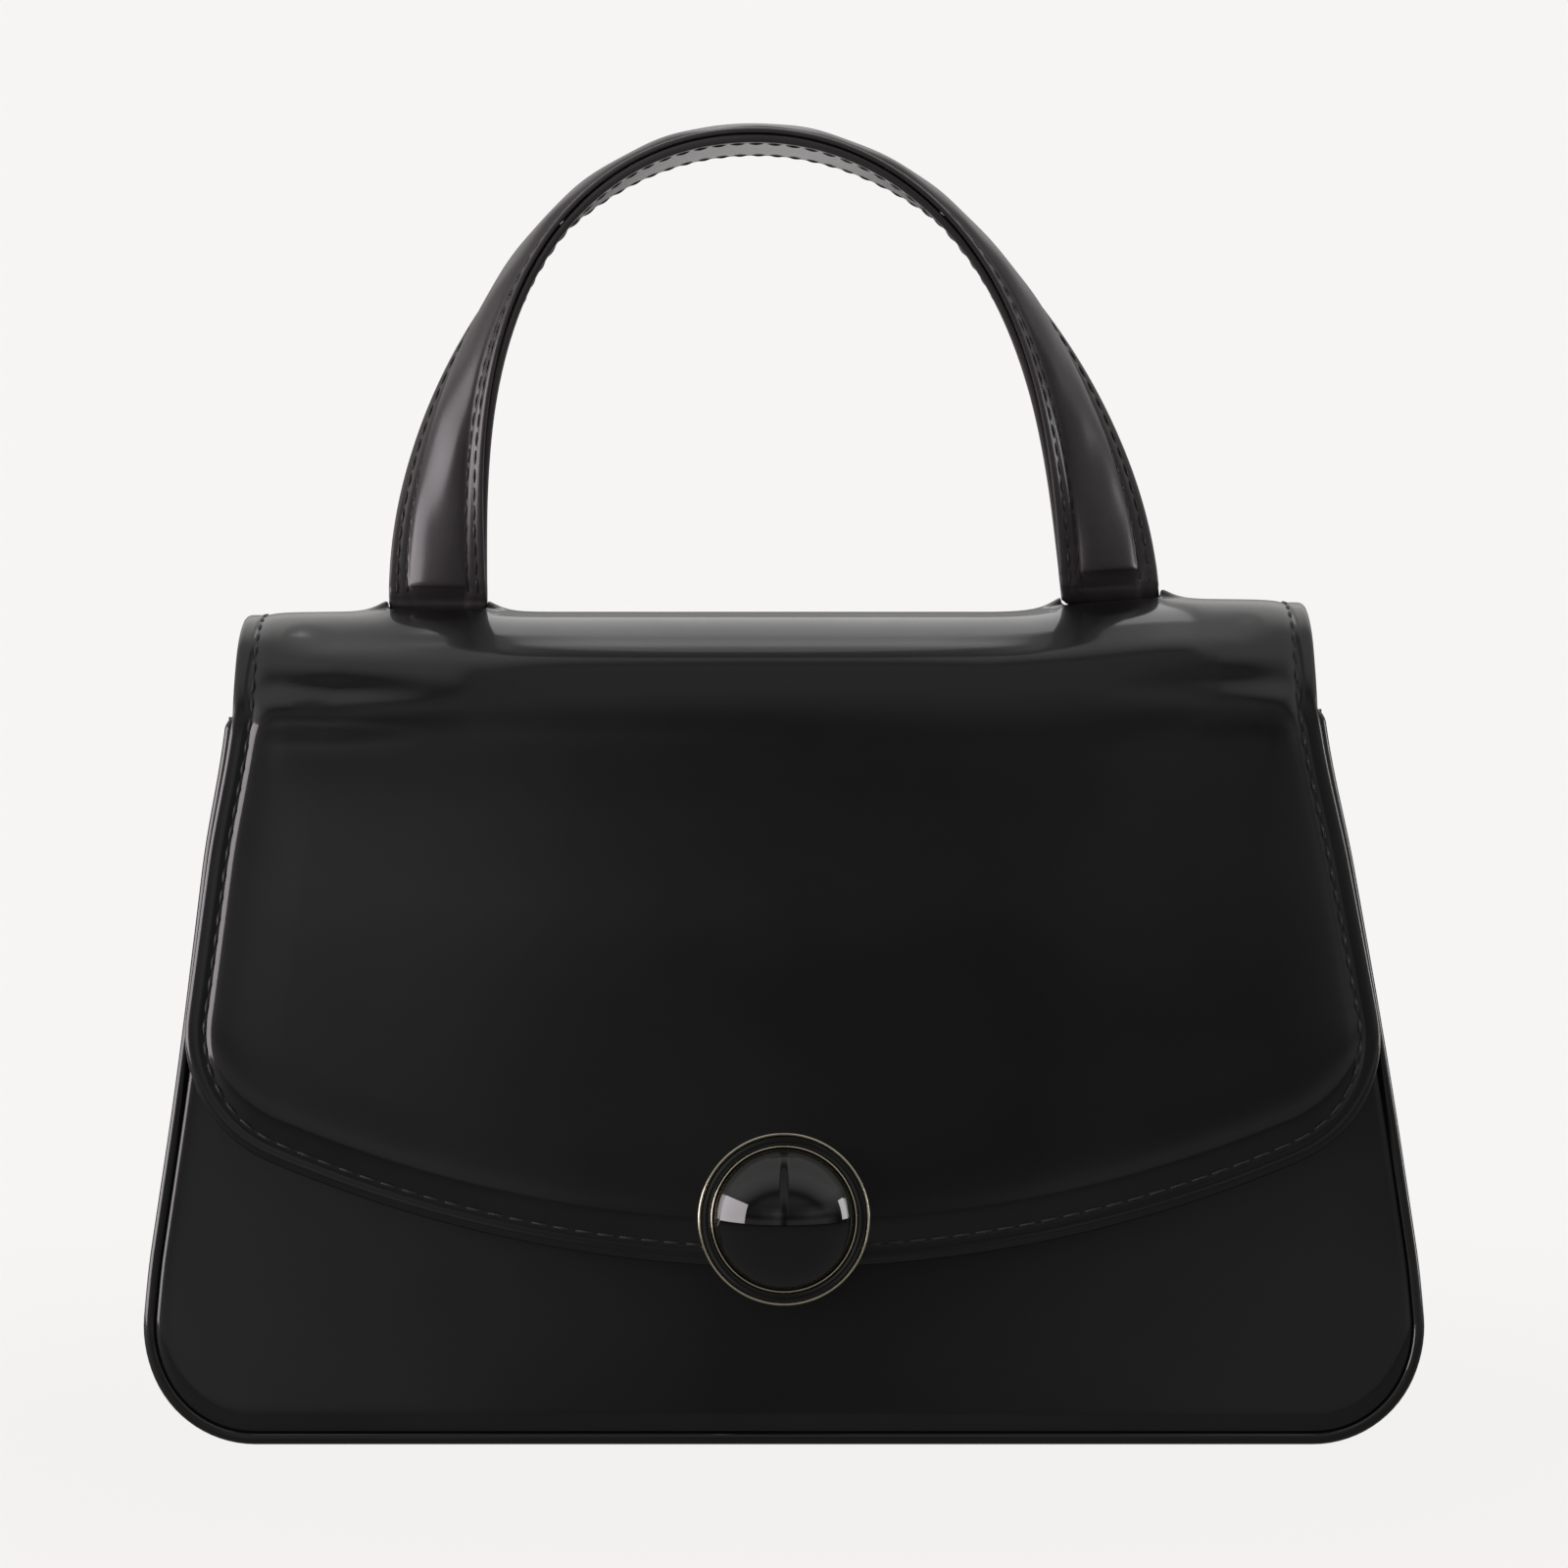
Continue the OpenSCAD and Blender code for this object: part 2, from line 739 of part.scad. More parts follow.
function cover_section(w) =
    let (low = strap_t / 2 + cover_gap, half_pad = w / 2 - margin_w)
    concat(
        [[w / 2, low], [w / 2, low + cover_t]],
        half_round(half_pad, low + cover_t, pad_h),
        [[-w / 2, low + cover_t], [-w / 2, low]],
        reversed(half_round(half_pad - cover_t, low, pad_h))
    );

function padding_section(w) =
    let (low = strap_t / 2 + cover_gap)
    concat(
        half_round(padding_half_w(w), low, pad_h - padding_gap),
        across(padding_half_w(w) * inner_share, low + strap_crown / 4, strap_crown, -1)
    );

// The strap, with its ends turned round the hinge pins
module handle_strap() {
    color(leather_color) difference() {
        union() {
            swept_solid([
                for (a = strap_angles) [for (p = strap_section(strap_w(a))) swept(a, p)]
            ]);
            for (s = [-1, 1])
                translate([s * handle_x, crown_y, pin_z]) rotate([0, 90, 0])
                    cylinder(h = strap_end_w, r = loop_r, center = true);
        }
        for (s = [-1, 1])
            translate([s * handle_x, crown_y, pin_z]) rotate([0, 90, 0])
                cylinder(h = 2 * strap_end_w, r = pin_r + pin_play, center = true);
    }
}

module handle_padding() {
    color(board_color) swept_solid([
        for (a = cover_angles) [for (p = padding_section(strap_w(a))) swept(a, p)]
    ]);
}

module handle_cover() {
    color(leather_color) swept_solid([
        for (a = cover_angles) [for (p = cover_section(strap_w(a))) swept(a, p)]
    ]);
}

front_panel();
back_panel();
gusset();
front_board();
back_board();
front_piping();
back_piping();
front_lining();
back_lining();
gusset_lining();
front_facing();
back_facing();
base_board();
slip_pocket();
snap_magnet();
magnet_washer();
flap_leather_cover();
flap_stiffener();
flap_lining();
left_handle_anchor();
right_handle_anchor();
handle_pins();
anchor_rivets();
ornament_setting();
ornament_ring();
ornament_stone();
snap_washer();
snap_stud();
handle_strap();
handle_padding();
handle_cover();
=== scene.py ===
import math

import bmesh
import bpy
import numpy as np
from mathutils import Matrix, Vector


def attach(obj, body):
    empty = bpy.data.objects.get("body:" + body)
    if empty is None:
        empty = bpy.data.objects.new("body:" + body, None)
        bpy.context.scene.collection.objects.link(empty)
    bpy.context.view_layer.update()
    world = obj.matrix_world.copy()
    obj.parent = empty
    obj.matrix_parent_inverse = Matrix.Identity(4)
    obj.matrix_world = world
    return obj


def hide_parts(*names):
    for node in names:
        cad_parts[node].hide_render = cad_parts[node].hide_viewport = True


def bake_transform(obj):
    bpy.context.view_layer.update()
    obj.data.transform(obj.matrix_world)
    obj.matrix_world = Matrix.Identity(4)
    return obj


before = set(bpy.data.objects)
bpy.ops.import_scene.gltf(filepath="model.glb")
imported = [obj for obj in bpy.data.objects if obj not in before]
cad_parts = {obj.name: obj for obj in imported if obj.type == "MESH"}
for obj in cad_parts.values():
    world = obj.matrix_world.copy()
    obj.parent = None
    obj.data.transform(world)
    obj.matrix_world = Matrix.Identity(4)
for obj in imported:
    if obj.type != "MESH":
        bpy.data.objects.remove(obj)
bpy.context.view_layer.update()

MM = 0.001

# Sizes of the frame, in millimetres and degrees
CORNER_X, CORNER_R, SIDE_LEAN = 108.0, 23.0, 7.8
BODY_H, PANEL_LEAN, NOTCH = 149.0, 5.0, 3.0
CROWN_Y, CROWN_Z, CROWN_R, PANEL_R = -2.35, 141.2, 30.4, 28.05
FLAP_LEAN = 7.119
FLAP_HALF, FLARE, FLARE_Z = 112.02, 8.2, 150.0
TIP_Z, ARC_R, FLAP_CORNER = 37.0, 265.0, 28.0
KNOB_Z, PIN_Z, HANDLE_X, HANDLE_RISE = 46.6, 169.6, 71.5, 99.6
HINGE_Z, FOLD_ANGLE = 149.15, 15.45
# How far the bag drifts to the left, how much its right shoulder stands up, and how full its sides are
DRIFT, SHOULDER_LIFT, FULLNESS = 1.9, 2.7, 0.0085
# Corners no sharper than this, the steps of half a corner, and an inset that counts as the face's middle
LEAST_R, CORNER_STEPS, FLAP_STEPS, MIDDLE = 0.05, 7, 8, 50.0


def sind(a):
    return math.sin(math.radians(a))


def cosd(a):
    return math.cos(math.radians(a))


def tand(a):
    return math.tan(math.radians(a))


def circle(t):
    return np.stack([np.cos(t), np.sin(t)], -1)


def whole_turn(count):
    return np.linspace(0, 2 * math.pi, count, endpoint=False)


def bell(t):
    return np.exp(-t * t)


def smooth(t):
    """Step from 0 to 1 with soft ends, while t goes from 0 to 1."""
    t = np.clip(t, 0.0, 1.0)
    return t * t * (3 - 2 * t)


# Surfaces

def settle(p):
    """The bag's own ease: full sides, a crown that drifts left and a right shoulder that stands higher."""
    p = np.asarray(p, float)
    x, z = p[..., 0], p[..., 2]
    full = smooth((z - 14) / 26) * (1 - smooth((z - 118) / 26))
    out = p.copy()
    out[..., 0] += FULLNESS * x * full - DRIFT * smooth((z - 60) / 100)
    out[..., 2] += SHOULDER_LIFT * smooth((z - 120) / 50) * smooth((x - 45) / 45)
    return out


def side_x(z, inset=0.0):
    """Half width of the body at height z."""
    r = CORNER_R - inset
    return CORNER_X + r * cosd(SIDE_LEAN) - (z - CORNER_R - r * sind(SIDE_LEAN)) * tand(SIDE_LEAN)


def on_front(x, z, d):
    """Point at depth d behind the front panel's face."""
    x, z, d = np.broadcast_arrays(np.asarray(x, float), z, d)
    y = (z - CROWN_Z) * tand(PANEL_LEAN) - PANEL_R / cosd(PANEL_LEAN)
    return np.stack([x, y + d * cosd(PANEL_LEAN), z - d * sind(PANEL_LEAN)], -1)


def on_back(x, z, d):
    return on_front(x, z, d) * [1, -1, 1]


# Each face's name, its surface and its outward direction along y
FACES = (("front", on_front, -1.0), ("back", on_back, 1.0))


def face_wave(x, v, e):
    """Soft unevenness of the body's leather, none at its seams."""
    return 0.05 * smooth((np.asarray(e, float) - 4) / 8) * (np.sin(x / 23 + v / 31) + np.sin(v / 15 - x / 37))


FLAP_FOOT = CROWN_Z + CROWN_R * sind(FLAP_LEAN)
FLAP_END = FLAP_FOOT + CROWN_R * math.radians(180 - FLAP_LEAN - FOLD_ANGLE)
CROWN_TOP_V = FLAP_FOOT + CROWN_R * math.radians(90 - FLAP_LEAN)


def on_flap(x, v, d):
    """Point at depth d behind the flap's face. v is the height in front and goes on along the crown."""
    x, v, d = np.broadcast_arrays(np.asarray(x, float), v, d)
    turn = np.maximum(v - FLAP_FOOT, 0) / CROWN_R + math.radians(FLAP_LEAN)
    n = np.stack([0 * x, -np.cos(turn), np.sin(turn)], -1)
    down = np.minimum(v - FLAP_FOOT, 0)
    base = np.stack([x, CROWN_Y + down * tand(FLAP_LEAN), CROWN_Z + down], -1)
    return base + n * (CROWN_R - d)[..., None]


# Outlines

def corner_arc(a, b, c, r, n):
    """Points of a fillet at b, on the way from a to c."""
    a, b, c = (np.array(p, float) for p in (a, b, c))
    u, w = (a - b) / np.linalg.norm(a - b), (c - b) / np.linalg.norm(c - b)
    half = math.acos(np.clip(u @ w, -1, 1)) / 2
    mid = b + (u + w) / np.linalg.norm(u + w) * r / math.sin(half)
    p, q = b + u * r / math.tan(half), b + w * r / math.tan(half)
    a0, a1 = math.atan2(*(p - mid)[::-1]), math.atan2(*(q - mid)[::-1])
    turn = (a1 - a0 + math.pi) % (2 * math.pi) - math.pi
    return mid + r * circle(a0 + turn * np.linspace(0, 1, n))


def between(p, q, n):
    """n points on the way from p to q, without the ends."""
    t = np.linspace(0, 1, n + 2)[1:-1, None]
    return np.array(p) * (1 - t) + np.array(q) * t


def four_sides(low, top, z0, z1, low_r, top_r, counts):
    """Splits a rounded trapezoid's outline at its corners' middles: base, right, top and left.

    low and top are half its width at the heights z0 and z1.
    """
    corners, radii = [(-low, z0), (low, z0), (top, z1), (-top, z1)], [low_r, low_r, top_r, top_r]
    arcs = [
        corner_arc(corners[k - 1], corners[k], corners[(k + 1) % 4], radii[k], 2 * CORNER_STEPS + 1)
        for k in range(4)
    ]
    out = []
    for k in range(4):
        a, b = arcs[k][CORNER_STEPS:], arcs[(k + 1) % 4][:CORNER_STEPS + 1]
        out.append(np.vstack([a, between(a[-1], b[0], counts[k % 2]), b]))
    out[2], out[3] = out[2][::-1], out[3][::-1]
    return out


def body_sides(top, top_r, start):
    """The body's outline up to this height, as a function of the inset."""
    def at(inset):
        e = inset + start
        z1, r = top - inset, max(top_r - inset, LEAST_R)
        return four_sides(side_x(e, e), side_x(z1, e), e, z1, CORNER_R - e, r, (50, 30))
    return at


def rect_sides(half, z0, z1, corner_r, counts):
    """A rounded rectangle, as a function of the inset."""
    def at(inset):
        x, r = half - inset, max(corner_r - inset, LEAST_R)
        return four_sides(x, x, z0 + inset, z1 - inset, r, r, counts)
    return at


def flap_sides(start=0.0):
    """The flap's outline: a wide curved base, spread sides, and a straight end at the fold."""
    side = np.array([-sind(FLARE), cosd(FLARE)])
    foot = np.array([FLAP_HALF + (FLARE_Z - TIP_Z) * tand(FLARE), TIP_Z])
    centre = np.array([0.0, TIP_Z + ARC_R])
    s = foot - np.array([FLAP_CORNER / cosd(FLARE), 0]) - centre
    dot = s @ side
    reach = -dot - math.sqrt(dot * dot - s @ s + (ARC_R - FLAP_CORNER) ** 2)
    mid = s + reach * side + centre
    low = math.atan2(*(mid - centre)[::-1])

    def at(inset):
        e = inset + start
        half = FLAP_HALF - e
        bend = mid + (FLAP_CORNER - e) * circle(np.linspace(low, math.radians(FLARE), 2 * FLAP_STEPS + 1))
        base = centre + (ARC_R - e) * circle(np.linspace(-math.pi - low, low, 112)[1:-1])
        right_low = bend[:FLAP_STEPS + 1]
        left_low = right_low[::-1] * [-1, 1]
        flare, end = np.array([half, FLARE_Z]), np.array([half, FLAP_END])
        right = np.vstack([
            bend[FLAP_STEPS:], between(bend[-1], flare, 44), [flare], between(flare, end, 74), [end],
        ])
        bottom = np.vstack([left_low, base, right_low])
        top = np.linspace(-half, half, len(bottom))
        return [bottom, right, np.stack([top, 0 * top + FLAP_END], -1), right * [-1, 1]]
    return at


def seam_of(sides):
    """Down the left side, along the base and up the right side."""
    base, right, _, left = sides
    return np.vstack([left[::-1], base[1:], right[1:]])


def ring_of(sides):
    """The four sides as one closed ring of points."""
    base, right, top, left = sides
    return np.vstack([base, right[1:], top[::-1][1:], left[::-1][1:-1]])


def patch_of(sides):
    """Grid of points that fills the four sides."""
    base, right, top, left = sides
    u = np.linspace(0, 1, len(base))[:, None, None]
    v = np.linspace(0, 1, len(left))[None, :, None]
    flat = (1 - v) * base[:, None] + v * top[:, None] + (1 - u) * left[None] + u * right[None]
    return flat - (
        (1 - u) * (1 - v) * base[0] + u * (1 - v) * base[-1] + (1 - u) * v * top[0] + u * v * top[-1]
    )


# Meshes

def add_object(name, data):
    piece = bpy.data.objects.new(name, data)
    bpy.context.scene.collection.objects.link(piece)
    return piece


def add_mesh(name, verts, faces, settled=True):
    """Smooth piece from points in millimetres, settled like the bag unless it is a part of its own."""
    verts = settle(verts) if settled else verts
    mesh = bpy.data.meshes.new(name)
    mesh.from_pydata((verts * MM).tolist(), [], faces)
    bm = bmesh.new()
    bm.from_mesh(mesh)
    bmesh.ops.remove_doubles(bm, verts=bm.verts, dist=1e-6)
    bmesh.ops.recalc_face_normals(bm, faces=bm.faces)
    bm.to_mesh(mesh)
    bm.free()
    mesh.polygons.foreach_set("use_smooth", [True] * len(mesh.polygons))
    return add_object(name, mesh)


def skin_faces(count, m, start=0):
    """Faces between this many loops of m points."""
    return [
        (a + j, a + (j + 1) % m, a + m + (j + 1) % m, a + m + j)
        for a in range(start, start + (count - 1) * m, m) for j in range(m)
    ]


def end_faces(count, m, start=0):
    """Faces that close the first and the last loop."""
    last = start + (count - 1) * m
    return [tuple(range(start, start + m))[::-1], tuple(range(last, last + m))]


# Each neighbour of a grid cell, with the ends of the side that they share
CELL_SIDES = (
    (-1, 0, ((0, 0), (0, 1))), (1, 0, ((1, 0), (1, 1))), (0, -1, ((0, 0), (1, 0))), (0, 1, ((0, 1), (1, 1))),
)


def shell(name, sides, profile, place, bulge=None, slots=None):
    """Closed leather shell whose edge has this profile.

    bulge(x, v, inset) is how far the leather stands out, and slots(x, v) says where it is cut through.
    """
    points = []
    for inset, depth in profile:
        at = ring_of(sides(inset))
        d = depth - (bulge(at[:, 0], at[:, 1], inset) if bulge else 0)
        points.append(place(at[:, 0], at[:, 1], d))
    n = len(points[0])
    faces = skin_faces(len(profile), n)
    total = n * len(profile)
    starts = []
    for inset, depth in (profile[0], profile[-1]):
        grid = patch_of(sides(inset))
        x, v = grid[..., 0], grid[..., 1]
        d = depth - (bulge(x, v, inset + MIDDLE) if bulge else 0)
        points.append(place(x, v, d).reshape(-1, 3))
        rows, cols = x.shape
        cell_middles = [(g[:-1, :-1] + g[1:, :-1] + g[1:, 1:] + g[:-1, 1:]) / 4 for g in (x, v)]
        gone = slots(*cell_middles) if slots else np.zeros((rows - 1, cols - 1), bool)
        for i, j in zip(*np.nonzero(~gone)):
            a = total + i * cols + j
            faces.append((a, a + cols, a + cols + 1, a + 1))
        starts.append(total)
        total += rows * cols
    front, back = starts
    for i, j in zip(*np.nonzero(gone)):
        for di, dj, ends in CELL_SIDES:
            if not gone[i + di, j + dj]:
                a, b = [(i + p) * cols + j + q for p, q in ends]
                faces.append((front + a, front + b, back + b, back + a))
    return add_mesh(name, np.vstack(points), faces)


def sweep(name, sections, closed_ends=True, settled=True):
    """Closed skin through a list of equal closed loops."""
    n, m = len(sections), len(sections[0])
    faces = skin_faces(n, m) + (end_faces(n, m) if closed_ends else [])
    return add_mesh(name, np.vstack(sections), faces, settled)


def lathe(name, profile):
    """Turned piece on the ornament's axis, from (radius, height) points above the flap's face."""
    base = on_flap(0.0, KNOB_Z, 0.0)
    out = np.array([0, -cosd(FLAP_LEAN), sind(FLAP_LEAN)])
    up = np.array([0, sind(FLAP_LEAN), cosd(FLAP_LEAN)])
    t = whole_turn(128)
    turned = np.cos(t)[:, None] * np.array([1, 0, 0]) + np.sin(t)[:, None] * up
    return sweep(name, [base + h * out + r * turned for r, h in profile], settled=False)


def along_y(way, count):
    """This many normals that point along y, forwards or backwards."""
    return np.tile([0, way, 0], (count, 1))


def stitches(name, rows, pitch, length, radius, settled=True):
    """Thread shown as separate stitches. rows lists (points, outward normals)."""
    points, faces = [], []
    spans, sides = 7, 8
    # A stitch dips into the leather at both ends and is thickest in its middle
    lift = np.sin(np.linspace(0, math.pi, spans))
    rise, thick = radius * (0.62 * lift - 0.42), radius * (0.55 + 0.45 * lift)
    t = whole_turn(sides)[:, None]
    for path, normals in rows:
        run = np.concatenate([[0], np.cumsum(np.linalg.norm(np.diff(path, axis=0), axis=1))])
        count = int(run[-1] // pitch)
        spare = (run[-1] - count * pitch + pitch - length) / 2
        for k in range(count):
            s = spare + k * pitch + length * np.linspace(0, 1, spans)
            mid = np.stack([np.interp(s, run, path[:, c]) for c in range(3)], -1)
            up = np.stack([np.interp(s, run, normals[:, c]) for c in range(3)], -1)
            up /= np.linalg.norm(up, axis=1)[:, None]
            mid = mid + up * rise[:, None]
            way = np.gradient(mid, axis=0)
            way /= np.linalg.norm(way, axis=1)[:, None]
            across = np.cross(way, up)
            start = len(points) * sides
            points += [
                mid[i] + thick[i] * (np.cos(t) * across[i] + np.sin(t) * up[i] * 0.8) for i in range(spans)
            ]
            faces += skin_faces(spans, sides, start) + end_faces(spans, sides, start)
    return add_mesh(name, np.vstack(points), faces, settled)


# Materials

def fresh_tree(owner, kind):
    """Empties the node tree of a material or world and gives it an output of this kind."""
    owner.use_nodes = True
    owner.node_tree.nodes.clear()
    return owner.node_tree, owner.node_tree.nodes.new(kind)


def new_material(name):
    """New material with its node tree, its main shader and the object's coordinates."""
    mat = bpy.data.materials.new(name)
    tree, out = fresh_tree(mat, "ShaderNodeOutputMaterial")
    shader = tree.nodes.new("ShaderNodeBsdfPrincipled")
    tree.links.new(shader.outputs[0], out.inputs[0])
    return mat, tree, shader, tree.nodes.new("ShaderNodeTexCoord").outputs["Object"]


def fix(node, values):
    """Sets a node's own inputs."""
    for key, value in values.items():
        node.inputs[key].default_value = value


def texture(tree, coords, kind, scale, **inputs):
    """Procedural texture of this kind."""
    node = tree.nodes.new("ShaderNodeTex" + kind)
    fix(node, {"Scale": scale, **inputs})
    tree.links.new(coords, node.inputs["Vector"])
    return node.outputs[0]


def ramp(tree, value, stops):
    """Colours between (place, colour) stops."""
    node = tree.nodes.new("ShaderNodeValToRGB")
    while len(node.color_ramp.elements) < len(stops):
        node.color_ramp.elements.new(0.5)
    for element, (at, color) in zip(node.color_ramp.elements, stops):
        element.position = at
        element.color = (*color, 1)
    tree.links.new(value, node.inputs[0])
    return node.outputs[0]


def span(tree, value, low, high, to_low, to_high):
    """Number that goes from to_low to to_high while the value goes from low to high."""
    node = tree.nodes.new("ShaderNodeMapRange")
    fix(node, {"From Min": low, "From Max": high, "To Min": to_low, "To Max": to_high})
    tree.links.new(value, node.inputs["Value"])
    return node.outputs[0]


def tint(tree, shader, value, low, dark, high, light):
    """Base colour that goes from dark to light while the value goes from low to high."""
    tree.links.new(ramp(tree, value, [(low, dark), (high, light)]), shader.inputs["Base Color"])


def roughen(tree, shader, value, least, most):
    """Uneven roughness."""
    tree.links.new(span(tree, value, 0.3, 0.7, least, most), shader.inputs["Roughness"])


def shade(color, factor):
    return [c * factor for c in color]


def combine(tree, kind, a, b=None):
    """Math node of the given kind. b is a socket or a number."""
    node = tree.nodes.new("ShaderNodeMath")
    node.operation = kind
    tree.links.new(a, node.inputs[0])
    if isinstance(b, float):
        node.inputs[1].default_value = b
    elif b:
        tree.links.new(b, node.inputs[1])
    return node.outputs[0]


def measure(tree, kind, vector, other=(0, 0, 0)):
    """Vector math node that gives a number."""
    node = tree.nodes.new("ShaderNodeVectorMath")
    node.operation = kind
    node.inputs[1].default_value = other
    tree.links.new(vector, node.inputs[0])
    return node.outputs["Value"]


def split(tree, vector):
    node = tree.nodes.new("ShaderNodeSeparateXYZ")
    tree.links.new(vector, node.inputs[0])
    return node.outputs


def mix(tree, share, first, second):
    """Mixes two shaders."""
    node = tree.nodes.new("ShaderNodeMixShader")
    for k, socket in enumerate((share, first, second)):
        tree.links.new(socket, node.inputs[k])
    return node.outputs[0]


def ray_kinds(tree):
    """Whether a ray comes from the camera, and whether it comes from a mirror or through glass."""
    path = tree.nodes.new("ShaderNodeLightPath").outputs
    return path["Is Camera Ray"], combine(tree, "MAXIMUM", path["Is Glossy Ray"], path["Is Transmission Ray"])


def grey(stops):
    """Colour stops from (place, brightness) pairs."""
    return [(at, (level,) * 3) for at, level in stops]


def bump(tree, shader, heights):
    """heights lists (height socket, strength, distance), stacked one on another."""
    last = None
    for height, strength, distance in heights:
        node = tree.nodes.new("ShaderNodeBump")
        fix(node, {"Strength": strength, "Distance": distance})
        tree.links.new(height, node.inputs["Height"])
        if last:
            tree.links.new(last, node.inputs["Normal"])
        last = node.outputs[0]
    tree.links.new(last, shader.inputs["Normal"])


def leather(name, dark, light, rough, coat, grain, wave, polish=0.08):
    """Polished calf: fine pores, long soft waves and slightly uneven polish."""
    mat, tree, shader, coords = new_material(name)
    cloud = texture(tree, coords, "Noise", 28, Detail=5.0, Roughness=0.55)
    pores = texture(tree, coords, "Voronoi", 1900)
    fine = texture(tree, coords, "Noise", 900, Detail=6.0, Roughness=0.6)
    waves = texture(tree, coords, "Noise", 34, Detail=1.5, Roughness=0.4)
    tint(tree, shader, cloud, 0.35, dark, 0.7, light)
    roughen(tree, shader, cloud, rough * 0.85, rough * 1.25)
    fix(shader, {"Specular IOR Level": 0.25, "Coat Weight": coat, "Coat Roughness": polish})
    bump(tree, shader, [(waves, wave, 0.0006), (pores, grain, 0.00006), (fine, grain, 0.00005)])
    return mat


def suede(name, dark, light):
    """Matt lining leather with a short nap."""
    mat, tree, shader, coords = new_material(name)
    cloud = texture(tree, coords, "Noise", 45, Detail=6.0, Roughness=0.65)
    nap = texture(tree, coords, "Noise", 2600, Detail=4.0)
    tint(tree, shader, cloud, 0.3, dark, 0.75, light)
    roughen(tree, shader, nap, 0.72, 0.9)
    fix(shader, {"Sheen Weight": 0.25, "Sheen Roughness": 0.4})
    bump(tree, shader, [(cloud, 0.2, 0.0005), (nap, 0.35, 0.0001)])
    return mat


def thread(name, color):
    """Waxed thread with a fine ply."""
    mat, tree, shader, coords = new_material(name)
    ply = texture(tree, coords, "Wave", 900, Distortion=2.0)
    tint(tree, shader, ply, 0, shade(color, 0.6), 1, color)
    fix(shader, {"Roughness": 0.45})
    bump(tree, shader, [(ply, 0.5, 0.0001)])
    return mat


def metal(name, color, rough):
    """Polished metal, slightly uneven and finely scratched."""
    mat, tree, shader, coords = new_material(name)
    wear = texture(tree, coords, "Noise", 260, Detail=8.0, Roughness=0.7)
    tint(tree, shader, wear, 0.3, shade(color, 0.86), 0.7, color)
    roughen(tree, shader, wear, rough * 0.8, rough * 1.4)
    fix(shader, {"Metallic": 1.0})
    bump(tree, shader, [(wear, 0.06, 0.00004)])
    return mat


def gloss(name, color, rough):
    """Glossy enamel or stone."""
    mat, tree, shader, coords = new_material(name)
    cloud = texture(tree, coords, "Noise", 120, Detail=3.0)
    tint(tree, shader, cloud, 0.3, color, 0.8, shade(color, 1.6))
    roughen(tree, shader, cloud, rough, rough * 2.0)
    fix(shader, {"Coat Weight": 0.6, "Coat Roughness": 0.02})
    return mat


def board(name, dark, light):
    """Bonded leather board, flecked with fibres."""
    mat, tree, shader, coords = new_material(name)
    fleck = texture(tree, coords, "Noise", 700, Detail=8.0, Roughness=0.7)
    tint(tree, shader, fleck, 0.3, dark, 0.7, light)
    fix(shader, {"Roughness": 0.8})
    bump(tree, shader, [(fleck, 0.4, 0.0002)])
    return mat


CALF = leather(
    "black_calf", (0.0024, 0.0020, 0.0022), (0.0044, 0.0038, 0.0041),
    rough=0.42, coat=1.0, grain=0.12, wave=0.3,
)
# The handle's leather is the body's black calf in a tone many times lighter: painted light that stands in for
# the sheen the handle catches
HANDLE_CALF_PAINTED_LIGHT = leather(
    "handle_calf_painted_light", (0.034, 0.0292, 0.0312), (0.059, 0.0517, 0.0551),
    rough=0.36, coat=0.65, grain=0.3, wave=0.5, polish=0.26,
)
CALF_EDGE = leather(
    "black_calf_edge", (0.006, 0.0055, 0.0055), (0.010, 0.009, 0.009),
    rough=0.3, coat=0.25, grain=0.2, wave=0.1,
)
LINING = suede("lining_leather", (0.070, 0.045, 0.030), (0.125, 0.085, 0.058))
# Black thread whose colour is partly its own dark tone and partly a painted sheen, lighter than black so the
# stitches seem to catch light
THREAD = thread("black_thread_painted_sheen", (0.034, 0.032, 0.033))
BROWN_THREAD = thread("brown_thread", (0.10, 0.07, 0.05))
GILT = metal("pale_gilt", (0.88, 0.82, 0.65), 0.2)
STEEL = metal("plain_steel", (0.42, 0.42, 0.43), 0.42)
ENAMEL = gloss("black_enamel_gloss", (0.004, 0.004, 0.004), 0.06)
STONE = gloss("black_cabochon", (0.0012, 0.0012, 0.0012), 0.02)
BOARD = board("leather_board", (0.26, 0.19, 0.12), (0.42, 0.32, 0.22))


def dress(piece, material, body=None, replaces=()):
    """Gives a piece its material, the body it rides on, and the nodes that it stands for."""
    piece.data.materials.clear()
    piece.data.materials.append(material)
    if body:
        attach(piece, body)
    if replaces:
        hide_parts(*replaces)


def paint_node(node, material):
    """Gives a carried-over CAD node its procedural material."""
    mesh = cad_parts[node].data
    mesh.materials.clear()
    mesh.materials.append(material)


# Body

# Edges are lists of (inset, depth) from the middle of the face, round the edge, to the back
PANEL_EDGE = [
    (12, 0.0), (6, 0.0), (4, 0.015), (2.8, 0.05), (1.9, 0.13), (1.2, 0.27), (0.7, 0.48),
    (0.35, 0.75), (0.1, 1.1), (0.05, 1.4), (0.4, 1.7), (4, 1.7), (12, 1.7),
]
PANEL_TOP_R, PANEL_INSET, BOARD_INSET, BOARD_DROP = 1.5, NOTCH - 0.55, 4.5, 2


